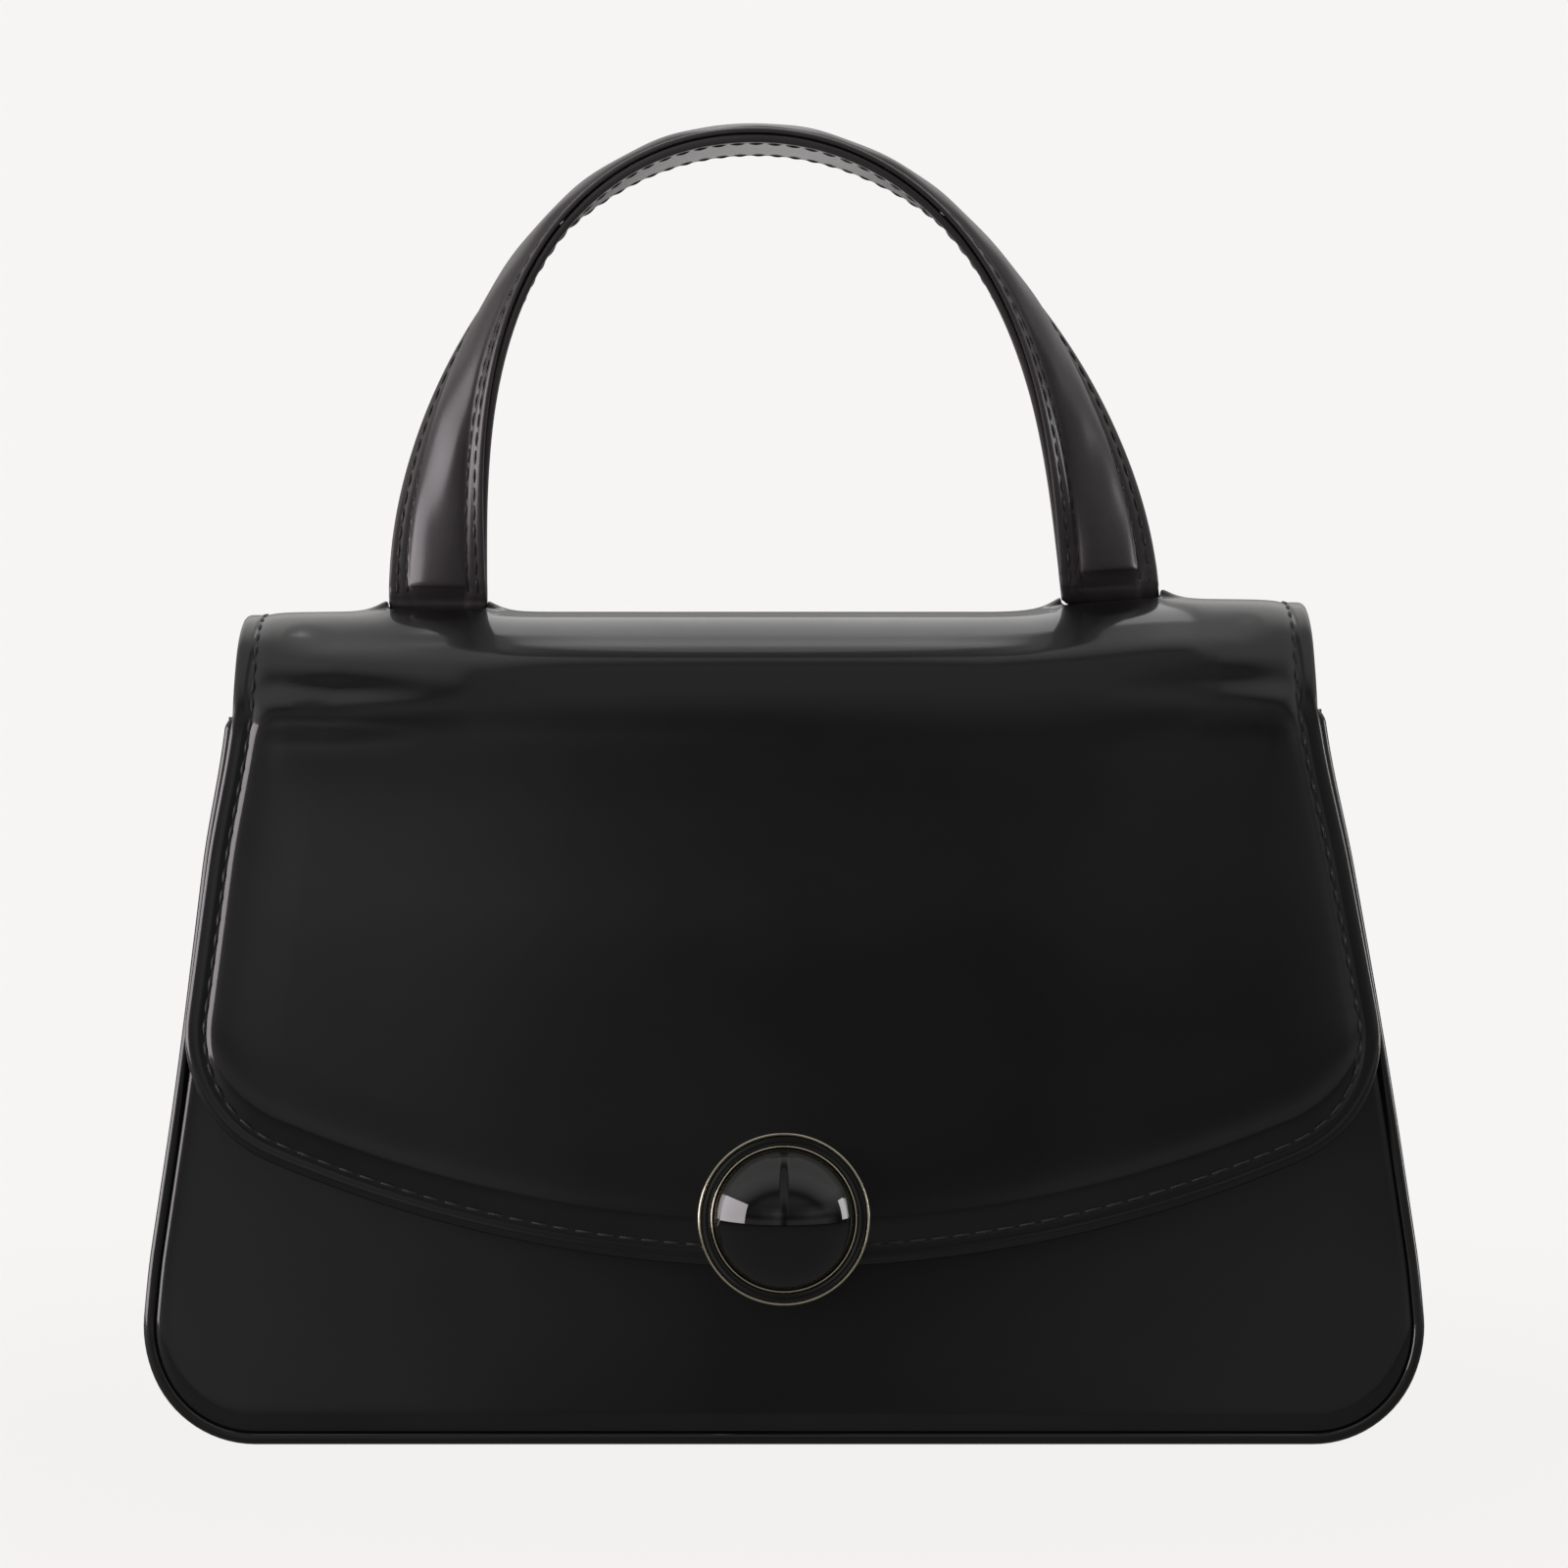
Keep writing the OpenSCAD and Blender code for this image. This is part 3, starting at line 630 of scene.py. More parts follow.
def make_panels():
    sides = body_sides(BODY_H, PANEL_TOP_R, PANEL_INSET)
    board_sides = body_sides(BODY_H - BOARD_DROP, PANEL_TOP_R, BOARD_INSET)
    board = [(5, 1.8), (0.3, 1.8), (0, 2.0), (0, 2.5), (0.3, 2.7), (5, 2.7)]
    for side, place, _ in FACES:
        panel = shell(side + "_panel_leather", sides, PANEL_EDGE, place, face_wave)
        dress(panel, CALF, "body", [side + "_panel"])
        stiff = shell(side + "_stiffening_board", board_sides, board, place)
        dress(stiff, BOARD, "body", [side + "_board"])


def body_path(inset, top):
    """Points down the left side, along the base and up the right side."""
    low, high, r = side_x(inset, inset), side_x(top, inset), CORNER_R - inset
    ends = [(-high, top), (-low, inset), (low, inset), (high, top)]
    a, b = corner_arc(*ends[:3], r, 22), corner_arc(*ends[1:], r, 22)
    return np.vstack([
        ends[:1], between(ends[0], a[0], 46), a, between(a[-1], b[0], 44), b,
        between(b[-1], ends[3], 46), ends[3:],
    ])


PIPING_R, PIPING_END_R, PIPING_TOP, HOOK_R = 1.3, 0.7, BODY_H - 3.2, 2.6
HOOK_DEPTHS = [1.7, 2.1, 2.6]


def tube(path, normals, radius):
    """Sections of a round cord along a path, one per point."""
    way = np.gradient(path, axis=0)
    way /= np.linalg.norm(way, axis=1)[:, None]
    side = np.cross(way, normals)
    side /= np.linalg.norm(side, axis=1)[:, None]
    up = np.cross(side, way)
    t = whole_turn(14)[:, None]
    return [p + r * (np.cos(t) * s + np.sin(t) * u) for p, s, u, r in zip(path, side, up, radius)]


def make_piping():
    """Round piping in the notch between each panel and the gusset, whose ends hook inwards at the top."""
    mid = NOTCH / 2
    line = body_path(mid, PIPING_TOP)
    t = np.radians(np.linspace(12, 100, 9))
    hook = line[-1] + HOOK_R * np.stack([np.cos(t) - 1, np.sin(t)], -1)
    line = np.vstack([(hook * [-1, 1])[::-1], line, hook])
    depth = np.full(len(line), mid)
    depth[:3], depth[-3:] = HOOK_DEPTHS[::-1], HOOK_DEPTHS
    radius = np.full(len(line), PIPING_R)
    radius[[0, -1]] = PIPING_END_R
    for side, place, outward in FACES:
        cord = tube(place(line[:, 0], line[:, 1], depth), along_y(outward, len(line)), radius)
        dress(sweep(side + "_piping_leather", cord), CALF, "body", [side + "_piping"])


PLEAT, PLEAT_FOOT, PLEAT_RUN = 4.5, 60, 85


def pleat(y, z, half):
    """How far the gusset folds in towards its top."""
    return PLEAT * smooth((z - PLEAT_FOOT) / PLEAT_RUN) * np.clip(1 - (y / half) ** 2, 0, 1) ** 1.4


def band(shape, depth_in, top):
    """U-shaped band round the body. shape lists (share of the half depth, inset) round its section."""
    line = body_path(0.0, top)
    last = len(line) - 1
    sections = []
    for k, (x, z) in enumerate(line):
        half = -on_front(0.0, z, depth_in)[1]
        hem = {0: 0.405, 1: 0.108}.get(min(k, last - k), 0)
        ahead = line[min(k + 1, last)] - line[max(k - 1, 0)]
        inward = np.array([-ahead[1], ahead[0]]) / np.linalg.norm(ahead)
        ring = []
        for share, inset in shape:
            y = share * half
            at_x, at_z = line[k] + inward * (inset + (hem if inset < 1 else -hem))
            ring.append([at_x - np.sign(x) * pleat(y, z, half), y, at_z])
        sections.append(np.array(ring))
    return sections


GUSSET_T, GUSSET_IN, LINING_IN, LINING_FACES = 2.0, 2.7, 4.6, (2.15, 2.85)


def make_gusset():
    outer = [(-1, 1.0), (-0.985, 0.55), (-0.96, 0.22), (-0.92, 0.05)]
    middle = [(s, 0.0) for s in np.linspace(-0.86, 0.86, 21)]
    inner = [(s, GUSSET_T) for s in np.linspace(0.97, -0.97, 19)]
    shape = outer + middle + [(-s, i) for s, i in outer[::-1]] + inner
    gusset = sweep("gusset_leather", band(shape, GUSSET_IN, BODY_H))
    dress(gusset, CALF, "body", ["gusset"])
    outer = [(s, LINING_FACES[0]) for s in np.linspace(-1, 1, 21)]
    inner = [(s, LINING_FACES[1]) for s in np.linspace(0.99, -0.99, 21)]
    lining = sweep("gusset_lining_leather", band(outer + inner, LINING_IN, BODY_H - 0.5))
    dress(lining, LINING, "body", ["gusset_lining"])


def ripple(x, v, e):
    """Slight looseness of the lining."""
    return 0.12 * np.sin(x / 17.0 + v / 29.0) + 0.1 * np.sin(v / 13.0 - x / 41.0)


FACING_LOW, FACING_TOP, FACING_INSET = BODY_H - 22.5, BODY_H - 0.6, 3.2
FACING_R, FACING_SEAM, FACING_BACK, LINING_TOP = 0.3, 2.6, 5.7, BODY_H - 20


def facing_sides(e):
    """The strip of leather inside the mouth."""
    low, top = side_x(FACING_LOW, FACING_INSET) - e, side_x(FACING_TOP, FACING_INSET) - e
    return four_sides(low, top, FACING_LOW + e, FACING_TOP - e, FACING_R, FACING_R, (40, 8))


def make_linings():
    edge = [(8, 4.62), (2, 4.6), (0.4, 4.66), (0.05, 4.85), (0.05, 5.05), (0.5, 5.25), (2, 5.3), (8, 5.3)]
    sides = body_sides(LINING_TOP, 1.0, FACING_INSET)
    for side, place, _ in FACES:
        lining = shell(side + "_lining_leather", sides, edge, place, ripple)
        dress(lining, LINING, "body", [side + "_lining"])
    edge = [(3, 4.6), (0.5, 4.62), (0.05, 4.9), (0.05, 5.3), (0.25, 5.62)]
    edge += [(0.8, FACING_BACK), (3, FACING_BACK)]
    for side, place, _ in FACES:
        facing = shell(side + "_facing_leather", facing_sides, edge, place)
        dress(facing, CALF_EDGE, "body", [side + "_facing"])
    xs = np.linspace(-104, 104, 120)
    rows = [
        (place(xs, FACING_LOW + FACING_SEAM, FACING_BACK), along_y(-outward, len(xs)))
        for _, place, outward in FACES
    ]
    dress(stitches("facing_stitching", rows, 3.6, 2.7, 0.25), THREAD, "body")


def make_top_edge():
    """The front panel's leather turned over its top edge, as a section of (depth, height) points."""
    loop = np.array([
        (0.12, 147.2), (0.3, 148.6), (0.8, 149.6), (1.7, 150.3), (2.8, 150.6), (4.0, 150.35), (5.0, 149.6),
        (5.7, 148.4), (6.0, 146.5), (6.05, 143.0), (6.0, 140.6), (5.8, 140.3), (5.6, 140.6), (5.6, 143.0),
        (5.5, 146.8), (4.6, 148.3), (3.2, 148.9), (1.6, 148.6), (0.9, 147.8),
    ])
    mid = np.array([3.0, 146.5])
    half = side_x(BODY_H, 3.4)
    right = np.array([half - 0.8, half - 0.25, half])
    xs = np.concatenate([-right[::-1], np.linspace(2 - half, half - 2, 60), right])
    end_shares = {0: 0.75, 1: 0.93, len(xs) - 2: 0.93, len(xs) - 1: 0.75}
    sections = []
    for k, x in enumerate(xs):
        at = mid + (loop - mid) * end_shares.get(k, 1.0)
        sections.append(on_front(x, at[:, 1], at[:, 0]))
    dress(sweep("front_top_edge_leather", sections), CALF_EDGE, "body")


BASE_HALF, BASE_FRONT, BASE_BACK, BASE_R, BASE_TOP = 106.5, -33.5, 33.5, 5.0, 5.15


def on_base(x, y, d):
    """Point at depth d below the base board's top."""
    return np.stack([x, y, BASE_TOP - d + 0 * x], -1)


def base_wave(x, v, e):
    return 0.06 * np.sin(x / 9.0) * np.sin(v / 8.0)


def make_floor_board():
    edge = [
        (9, 0.0), (4, 0.02), (1.6, 0.12), (0.7, 0.35), (0.2, 0.8), (0.0, 1.2), (0.3, 1.7), (1, 2.0), (9, 2.0),
    ]
    sides = rect_sides(BASE_HALF, BASE_FRONT, BASE_BACK, BASE_R, (40, 14))
    piece = shell("covered_base_board", sides, edge, on_base, base_wave)
    dress(piece, LINING, "body", ["base_board"])


POCKET_HALF, POCKET_LOW, POCKET_TOP, POCKET_R, POCKET_SEAM, POCKET_FRONT = 70, 38, 116, 9, 2.2, 6.36


def pocket_sag(x, v, e):
    """The pocket's mouth hangs a little open between its seams."""
    across = np.cos(np.clip(x / POCKET_HALF, -1, 1) * math.pi / 2)
    return -0.5 * np.clip((v - 60) / 56, 0, 1) ** 2 * across * (e > 1)


def make_pocket():
    edge = [(7, 5.45), (2, 5.45), (0.3, 5.5), (0, 5.8), (0.2, 6.15), (0.8, 6.3), (2, POCKET_FRONT), (7, 6.4)]
    sides = rect_sides(POCKET_HALF, POCKET_LOW, POCKET_TOP, POCKET_R, (40, 24))
    pocket = shell("slip_pocket_leather", sides, edge, on_back, pocket_sag)
    dress(pocket, LINING, "body", ["slip_pocket"])
    line = seam_of(sides(POCKET_SEAM))
    rows = [(on_back(line[:, 0], line[:, 1], POCKET_FRONT), along_y(-1.0, len(line)))]
    dress(stitches("pocket_stitching", rows, 3.4, 2.5, 0.22), BROWN_THREAD, "body")


# Flap

FLAP_EDGE = [
    (20, 0.0), (16, 0.03), (13, 0.09), (11, 0.16), (9.4, 0.26), (8.2, 0.38), (7.2, 0.52), (6.4, 0.68),
    (5.8, 0.84), (5.3, 1.02), (4.9, 1.2), (4.6, 1.38), (4.3, 1.5), (4.0, 1.55), (3.7, 1.5), (3.3, 1.42),
    (2.7, 1.38), (2.0, 1.38), (1.3, 1.42), (0.8, 1.52), (0.4, 1.7), (0.12, 1.98), (0.0, 2.3), (0.05, 2.7),
    (0.3, 3.05), (0.8, 3.25), (1.6, 3.3), (3.4, 3.3), (3.8, 3.1), (3.9, 2.75), (6, 1.9), (20, 1.5),
]
# The points before the edge turns to the back, and the inset of the groove that the stitches lie in
FACE_POINTS, GROOVE = 20, 4.0
# The slots for the handle's ends: half length, half width, corner radius and shift along the crown
SLOT_X, SLOT_Y, SLOT_R, SLOT_SHIFT = 10.75, 3.8, 1.6, -0.15
# Where on the flap its hollow, its fullness, its ease, its bend and its creases lie
HOLLOW_V, FULL_V, EASE_V, BEND_V, CREASE_V = 146.0, 108.0, 165.0, 164.5, 152.0
LEFT_CREASE, RIGHT_CREASE = 2.3, 1.5
# The mounds' height and reach, and how much lower they are before and behind the handle
MOUND_H, MOUND_REACH, MOUND_DIP = 2.3, 3.4, 0.65


def flap_wave(x, v, e):
    """Unevenness of the flap's leather: a hollow under the crown, a fuller middle, creases at the ends."""
    e = np.asarray(e, float)
    hollow = -0.45 * bell((v - HOLLOW_V - 1.5 * np.sin(x / 31)) / 8.5)
    full = 0.45 * bell((v - FULL_V) / 22) * bell(x / 95)
    ease = 0.1 * np.sin(x / 19 + v / 11) * bell((v - EASE_V) / 16) * smooth((np.abs(x) - 25) / 50)
    t = (v - BEND_V) / 8
    bend = -1.2 * t * bell(t)
    t = (v - CREASE_V - smooth((-x - 92) / 12)) / 5
    crease = -t * bell(t) * (1 - 0.5 * smooth(0.5 - t)) * np.where(x < 0, LEFT_CREASE, RIGHT_CREASE)
    crease = crease * smooth((np.abs(x) - 62) / 32) * smooth((e - 2.5) / 6)
    loose = smooth((e - 6) / 12) * (hollow + full + ease + bend)
    return loose + crease + crown_lift(v, e) + mound_foot(x, v)


def mound_reach(x, v):
    """Distance from the nearer handle slot's edge, along the crown."""
    over = np.maximum(np.abs(np.abs(x - SLOT_SHIFT) - HANDLE_X) - SLOT_X + SLOT_R, 0)
    return np.hypot(over, np.maximum(np.abs(v - CROWN_TOP_V) - SLOT_Y + SLOT_R, 0)) - SLOT_R


def in_slot(x, v):
    """The flap is cut through here. Its collar covers the rim."""
    return mound_reach(x, v) < 1.0


def mound_rise(x, v, least=0.0):
    """Height of the moulded mound. It is lower before and behind the handle, which needs room to tip."""
    beside = smooth((np.abs(v - CROWN_TOP_V) - 1.8) / 2.2)
    fall = np.exp(-(np.maximum(mound_reach(x, v), least) / MOUND_REACH) ** 1.35)
    return MOUND_H * (1 - MOUND_DIP * beside) * fall


def mound_foot(x, v):
    """The flap's own rise round a slot. It stays below the collar."""
    return mound_rise(x, v, 3.0) - 0.2 * smooth((3.8 - mound_reach(x, v)) / 1.2)


def crown_lift(v, e):
    """The edge's roll is shallower on the crown."""
    insets, depths = zip(*FLAP_EDGE[:FACE_POINTS][::-1])
    return 0.5 * smooth((v - 158) / 12) * np.interp(e, insets, depths)


def make_flap():
    outer = shell("flap_leather", flap_sides(), FLAP_EDGE, on_flap, flap_wave, in_slot)
    dress(outer, CALF, "flap", ["flap_leather_cover"])
    edge = [
        (10, 2.85), (2, 2.85), (0.4, 2.9), (0.05, 3.1), (0.0, 3.35), (0.2, 3.62), (0.7, 3.76), (2, 3.8),
        (10, 3.8),
    ]
    lining = shell("flap_lining_leather", flap_sides(2.4), edge, on_flap)
    dress(lining, LINING, "flap", ["flap_lining"])
    line = seam_of(flap_sides()(GROOVE))
    depth = 1.5 - crown_lift(line[:, 1], GROOVE)
    path = on_flap(line[:, 0], line[:, 1], depth)
    normal = on_flap(line[:, 0], line[:, 1], depth - 1) - path
    dress(stitches("flap_stitching", [(path, normal)], 4.5, 3.5, 0.36), THREAD, "flap")
    board = [(6, 1.85), (0.4, 1.85), (0, 2.1), (0, 2.5), (0.4, 2.7), (6, 2.7)]
    stiff = shell("flap_stiffening_board", flap_sides(4.6), board, on_flap, slots=in_slot)
    dress(stiff, BOARD, "flap", ["flap_stiffener"])


def make_mounds():
    """Moulded leather collars round the handle's ends, each with a slot for the strap."""
    # Distance from the slot's edge, share of the mound's height there, and height above that
    rings = [(0.0, 0, -2.5), (0.0, 0, 0.2), (0.0, 1, -0.4), (0.1, 1, -0.12)]
    rings += [(reach, 1, 0.0) for reach in (0.3, 0.6, 1.0, 1.5, 2.0, 2.6, 3.2, 3.8, 4.4, 5.0)]
    rings += [(5.8, 1, -0.12), (6.6, 0, -0.4), (0.6, 0, -2.8)]
    t = whole_turn(96)
    # Three times the cosine or sine, cut off at 1, moves the corners apart and keeps them round
    along_x = (SLOT_X - SLOT_R) * np.clip(3 * np.cos(t), -1, 1)
    along_v = (SLOT_Y - SLOT_R) * np.clip(3 * np.sin(t), -1, 1)
    for side, way in (("left", -1), ("right", 1)):
        loops = []
        for reach, share, over in rings:
            r = SLOT_R + reach
            x = SLOT_SHIFT + way * HANDLE_X + along_x + r * np.cos(t)
            v = CROWN_TOP_V + along_v + r * np.sin(t)
            wave = flap_wave(x, v, MIDDLE) - mound_foot(x, v)
            loops.append(on_flap(x, v, -over - wave - share * mound_rise(x, v)))
        piece = sweep(side + "_handle_collar", loops + [loops[0]], closed_ends=False)
        dress(piece, CALF, "flap")


def fold_point(x, t, out):
    """Point on the back at distance t above the fold, standing out from the leather."""
    x, t, out = np.broadcast_arrays(np.asarray(x, float), t, out)
    lower = on_back(x, HINGE_Z + t * cosd(PANEL_LEAN), -out)
    upper = on_flap(x, FLAP_END - t, -out)
    w = smooth(t / 6 + 0.5)[..., None]
    return lower * (1 - w) + upper * w


# Half the fold's width, its seam and the sections of its leathers, as (way up from the fold, height)
FOLD_HALF, FOLD_SEAM = 109.5, (-8.6, 1.08)
OUTER_FOLD = [
    (-11, -0.1), (-11, 0.45), (-10.8, 0.8), (-10.3, 1.05), (-9.2, 1.15), (-6, 1.1), (-3, 1.1), (0, 1.1),
    (2.5, 1.05), (5, 0.85), (7.5, 0.5), (10, 0.18), (12, 0.0), (13, -0.25), (10, -0.3), (5, -0.2), (0, -0.15),
    (-5, -0.1), (-9, -0.1),
]
INNER_FOLD = [
    (-9, -5.6), (-9, -6.1), (-8.6, -6.4), (-7, -6.5), (-3, -6.45), (0, -6.2), (3, -5.6), (6, -4.9),
    (9, -4.55), (11, -4.45), (11.5, -4.2), (11.4, -3.7), (8, -3.7), (4, -4.3), (0, -5.3), (-3, -5.65),
    (-7, -5.7),
]


def make_fold():
    """Leather that joins the flap to the back panel, outside and inside."""
    ends = [FOLD_HALF - 0.3, FOLD_HALF]
    xs = np.concatenate([-np.array(ends[::-1]), np.linspace(1 - FOLD_HALF, FOLD_HALF - 1, 50), ends])
    for side, loop, material, slot in (
        ("outer", OUTER_FOLD, CALF, "black_leather"),
        ("inner", INNER_FOLD, LINING, "lining_suede"),
    ):
        t, out = np.array(loop).T
        mid = out.mean()
        sections = []
        for k, x in enumerate(xs):
            shrink = 0.8 if k in (0, len(xs) - 1) else 1.0
            sections.append(fold_point(x, t, mid + (out - mid) * shrink))
        piece = sweep(side + "_fold_leather", sections)
        dress(piece, material)
        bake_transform(piece)
    xs = np.linspace(-106, 106, 100)
    rows = [(fold_point(xs, *FOLD_SEAM), along_y(1.0, len(xs)))]
    dress(stitches("fold_stitching", rows, 4.5, 3.5, 0.33), THREAD, "body")


# Handle

# Height of the cover's ends above the pins, the handle's lean, and the room under its right end
COVER_END, HANDLE_TURN, RIGHT_LIFT = 7.0, math.radians(1.36), 2.2
# The arch's fullness, and how its wide face turns from flat on top to the front at its ends
ARCH_TOP, ARCH_FULL = HANDLE_RISE + 1.5, 0.963
FACE_TURN, TURN_POWER, END_TURN = 85.0, 1.5, 5.0
STRAP_END_W, STRAP_GRIP_W, STRAP_HALF_T, STRAP_EDGE_R = 20.8, 21.6, 0.95, 0.9
# The pad between the cover's stitched margins, and these as (distance from the edge, height)
PAD_INSET, PAD_LOW, PAD_FOOT, PAD_RISE, COVER_LOW = 4.1, 1.15, 1.95, 2.45, 1.05
COVER_MARGIN = [
    (0.05, 1.25), (0, 1.5), (0.08, 1.85), (0.35, 2.12), (0.8, 2.24), (1.4, 2.22), (1.9, 2.08), (2.4, 2.2),
    (3.0, 2.24), (3.6, 2.1), (3.95, 1.92),
]
# The pad's end, as (height above the cover's end, share of the pad's rise), after the dark slit under it
COVER_START, PAD_START = 1.8, 2.2
PAD_END = [
    (-3.3, 0.0), (-2.8, 0.08), (-2.2, 0.2), (-1.6, 0.32), (-0.15, 0.66), (0.0, 0.72), (0.12, 0.8),
    (0.35, 0.9), (0.7, 0.97), (1.3, 1.0),
]


def arch(a):
    """Place, width direction and face direction at angle a of the handle's arch."""
    a = np.asarray(a, float)
    c, s = np.cos(a), np.sin(a)
    across = np.sign(c) * np.maximum(np.abs(c), 1e-9) ** ARCH_FULL
    x = HANDLE_X * across * (1 - 0.05 * s * (1 - s))
    at = np.stack([x, 0 * a + CROWN_Y, PIN_Z + HANDLE_RISE * s], -1)
    out = np.stack([np.sign(c) * np.abs(c) ** (2 / ARCH_FULL - 1) / HANDLE_X, 0 * a, s / HANDLE_RISE], -1)
    out /= np.linalg.norm(out, axis=-1)[..., None]
    share = np.clip((ARCH_TOP - HANDLE_RISE * s) / (ARCH_TOP - COVER_END), 0, 1)
    turn = np.radians(FACE_TURN * share ** TURN_POWER + END_TURN * smooth((9 - HANDLE_RISE * s) / 6))
    depth = np.array([0, 1.0, 0])
    wide = out * np.sin(turn)[..., None] + depth * np.cos(turn)[..., None]
    face = out * np.cos(turn)[..., None] - depth * np.sin(turn)[..., None]
    return at, wide, face


def lean(p):
    """The handle's own slight lean to the left, about its left end."""
    p = np.asarray(p, float)
    x, z = p[..., 0] + HANDLE_X, p[..., 2] - PIN_Z
    out = p.copy()
    out[..., 0] = -HANDLE_X + x * math.cos(HANDLE_TURN) - z * math.sin(HANDLE_TURN)
    out[..., 2] = PIN_Z + x * math.sin(HANDLE_TURN) + z * math.cos(HANDLE_TURN)
    out[..., 0] -= DRIFT + 0.035 * np.maximum(z, 0)
    return out


def above_crown(a):
    """Height above the pins at angle a, less the right shoulder's own lift."""
    return lean(arch(a)[0])[..., 2] - PIN_Z - RIGHT_LIFT * (np.cos(a) > 0)


def strap_width(a):
    """The strap narrows to a tab inside its slot."""
    w = STRAP_END_W + (STRAP_GRIP_W - STRAP_END_W) * np.sin(a)
    return w * (1 - 0.18 * smooth(2.2 - above_crown(a)))


def handle_point(a, u, v):
    """Point at u across the handle and v above its middle layer."""
    at, wide, face = arch(a)
    return lean(at + np.asarray(u)[..., None] * wide + np.asarray(v)[..., None] * face)


def end_angle(height, right):
    """Angle at which the handle's end is this high above the pins. The lean lifts its right end."""
    lift = 2 * HANDLE_X * math.sin(HANDLE_TURN) - RIGHT_LIFT if right else 0.0
    return math.asin((height - lift) / HANDLE_RISE)


def handle_angles(height, count=60, power=1.3):
    """Angles from the right end to the left, both ends at this height above the pins."""
    t = np.linspace(0, 1, count) ** power
    right, left = [a + (math.pi / 2 - a) * t for a in (end_angle(height, True), end_angle(height, False))]
    return np.concatenate([right, math.pi - left[::-1][1:]])


def strap_loop(w):
    """Strap section with rounded painted edges."""
    h, r = w / 2, STRAP_EDGE_R
    right = [(h - r + r * math.cos(t), r * math.sin(t)) for t in np.radians(np.linspace(-90, 90, 9))]
    top = [(x, STRAP_HALF_T) for x in np.linspace(h - 2.5, -h + 2.5, 9)]
    return np.array(right + top + [(-x, -y) for x, y in right + top])


def cover_loop(w, dome):
    """Cover section: two stitched margins and, between them, the padded dome."""
    h = w / 2
    margin = [(h - inset, height) for inset, height in COVER_MARGIN]
    top = []
    for s in np.linspace(1, -1, 27)[1:-1]:
        rise = PAD_FOOT + PAD_RISE * (1 - abs(s) ** 2.3) ** 0.62
        top.append(((h - PAD_INSET) * s, PAD_LOW + (rise - PAD_LOW) * dome))
    left = [(-x, y) for x, y in margin[::-1]]
    low = [(x, COVER_LOW) for x in np.linspace(-h + 1, h - 1, 13)]
    return np.array(margin + top + left + low)


def make_strap():
    sections = [handle_point(a, *strap_loop(strap_width(a)).T) for a in handle_angles(0.8)]
    strap = sweep("handle_strap_leather", sections, settled=False)
    dress(strap, HANDLE_CALF_PAINTED_LIGHT, "handle", ["handle_strap"])


def make_cover():
    ends = [(math.asin((COVER_END + up) / HANDLE_RISE), dome) for up, dome in PAD_END]
    low = math.asin((COVER_END + PAD_START) / HANDLE_RISE)
    ends += [(low + (math.pi / 2 - low) * t ** 1.3, 1.0) for t in np.linspace(0, 1, 120)]
    right, left = [[(end_angle(COVER_START, side), 0.0)] + ends for side in (True, False)]
    sections = []
    for a, dome in right + [(math.pi - a, dome) for a, dome in left[::-1][1:]]:
        loop = cover_loop(strap_width(a), dome)
        # The margins are thin inside the slots, and the pad is slightly uneven
        thin = 0.7 - 0.7 * smooth((above_crown(a) - 4.2) / 1.8)
        loop[:, 1] -= thin * np.maximum(loop[:, 1] - COVER_LOW, 0)
        s, u = a * 90.0, loop[:, 0]
        pad = np.clip((loop[:, 1] - 2.4) / 1.2, 0, 1)
        loop[:, 1] += pad * (0.07 * np.sin(s / 2.9 - u / 1.9 + 1) + 0.09 * np.sin(s / 4.7 + u / 3.1))
        sections.append(handle_point(a, *loop.T))
    cover = sweep("handle_cover_leather", sections, settled=False)
    dress(cover, HANDLE_CALF_PAINTED_LIGHT, "handle", ["handle_cover", "handle_padding"])


def make_handle_stitching():
    """Two rows on each margin of the cover, and one under it on the strap."""
    a = handle_angles(4.6, 200, 1.0)
    w, face = strap_width(a), arch(a)[2]
    rows = []
    for side in (-1, 1):
        for inset, height, way in ((1.9, 2.2, 1), (3.95, 2.05, 1), (2.2, -1.0, -1)):
            rows.append((handle_point(a, side * (w / 2 - inset), height), way * face))
    seams = stitches("handle_stitching", rows, 3.9, 3.0, 0.28, settled=False)
    dress(seams, THREAD, "handle")


# Ornament

# Sections of the ornament as (radius, height above the flap), and the size of its dome
AXIS, STONE_R, STONE_FOOT, STONE_RISE = 0.01, 14.3, 3.1, 7.4
SETTING = [
    (AXIS, -5.2), (1.1, -5.2), (1.2, -5.1), (1.2, 0.0), (1.25, 0.05), (17.0, 0.05), (17.3, 0.15),
    (17.42, 0.4), (17.42, 3.0), (17.39, 3.2), (17.3, 3.34), (17.15, 3.4), (17.0, 3.34), (16.91, 3.2),
    (16.88, 3.0), (16.86, 1.2), (16.7, 1.02), (14.95, 1.02), (14.86, 1.2), (14.86, 2.8), (14.82, 2.98),
    (14.72, 3.1), (14.6, 3.13), (14.49, 3.08), (14.43, 2.95), (14.42, 1.2), (14.2, 1.0), (AXIS, 1.0),
]
RING = [
    (15.0, 1.06), (15.0, 2.05), (15.1, 2.22), (15.3, 2.3), (15.8, 2.26), (16.4, 2.3), (16.7, 2.22),
    (16.8, 2.05), (16.8, 1.06), (15.0, 1.06),
]
STONE_BASE = [(AXIS, 1.1), (13.9, 1.1), (14.2, 1.25), (STONE_R, 1.5), (STONE_R, 2.85)]


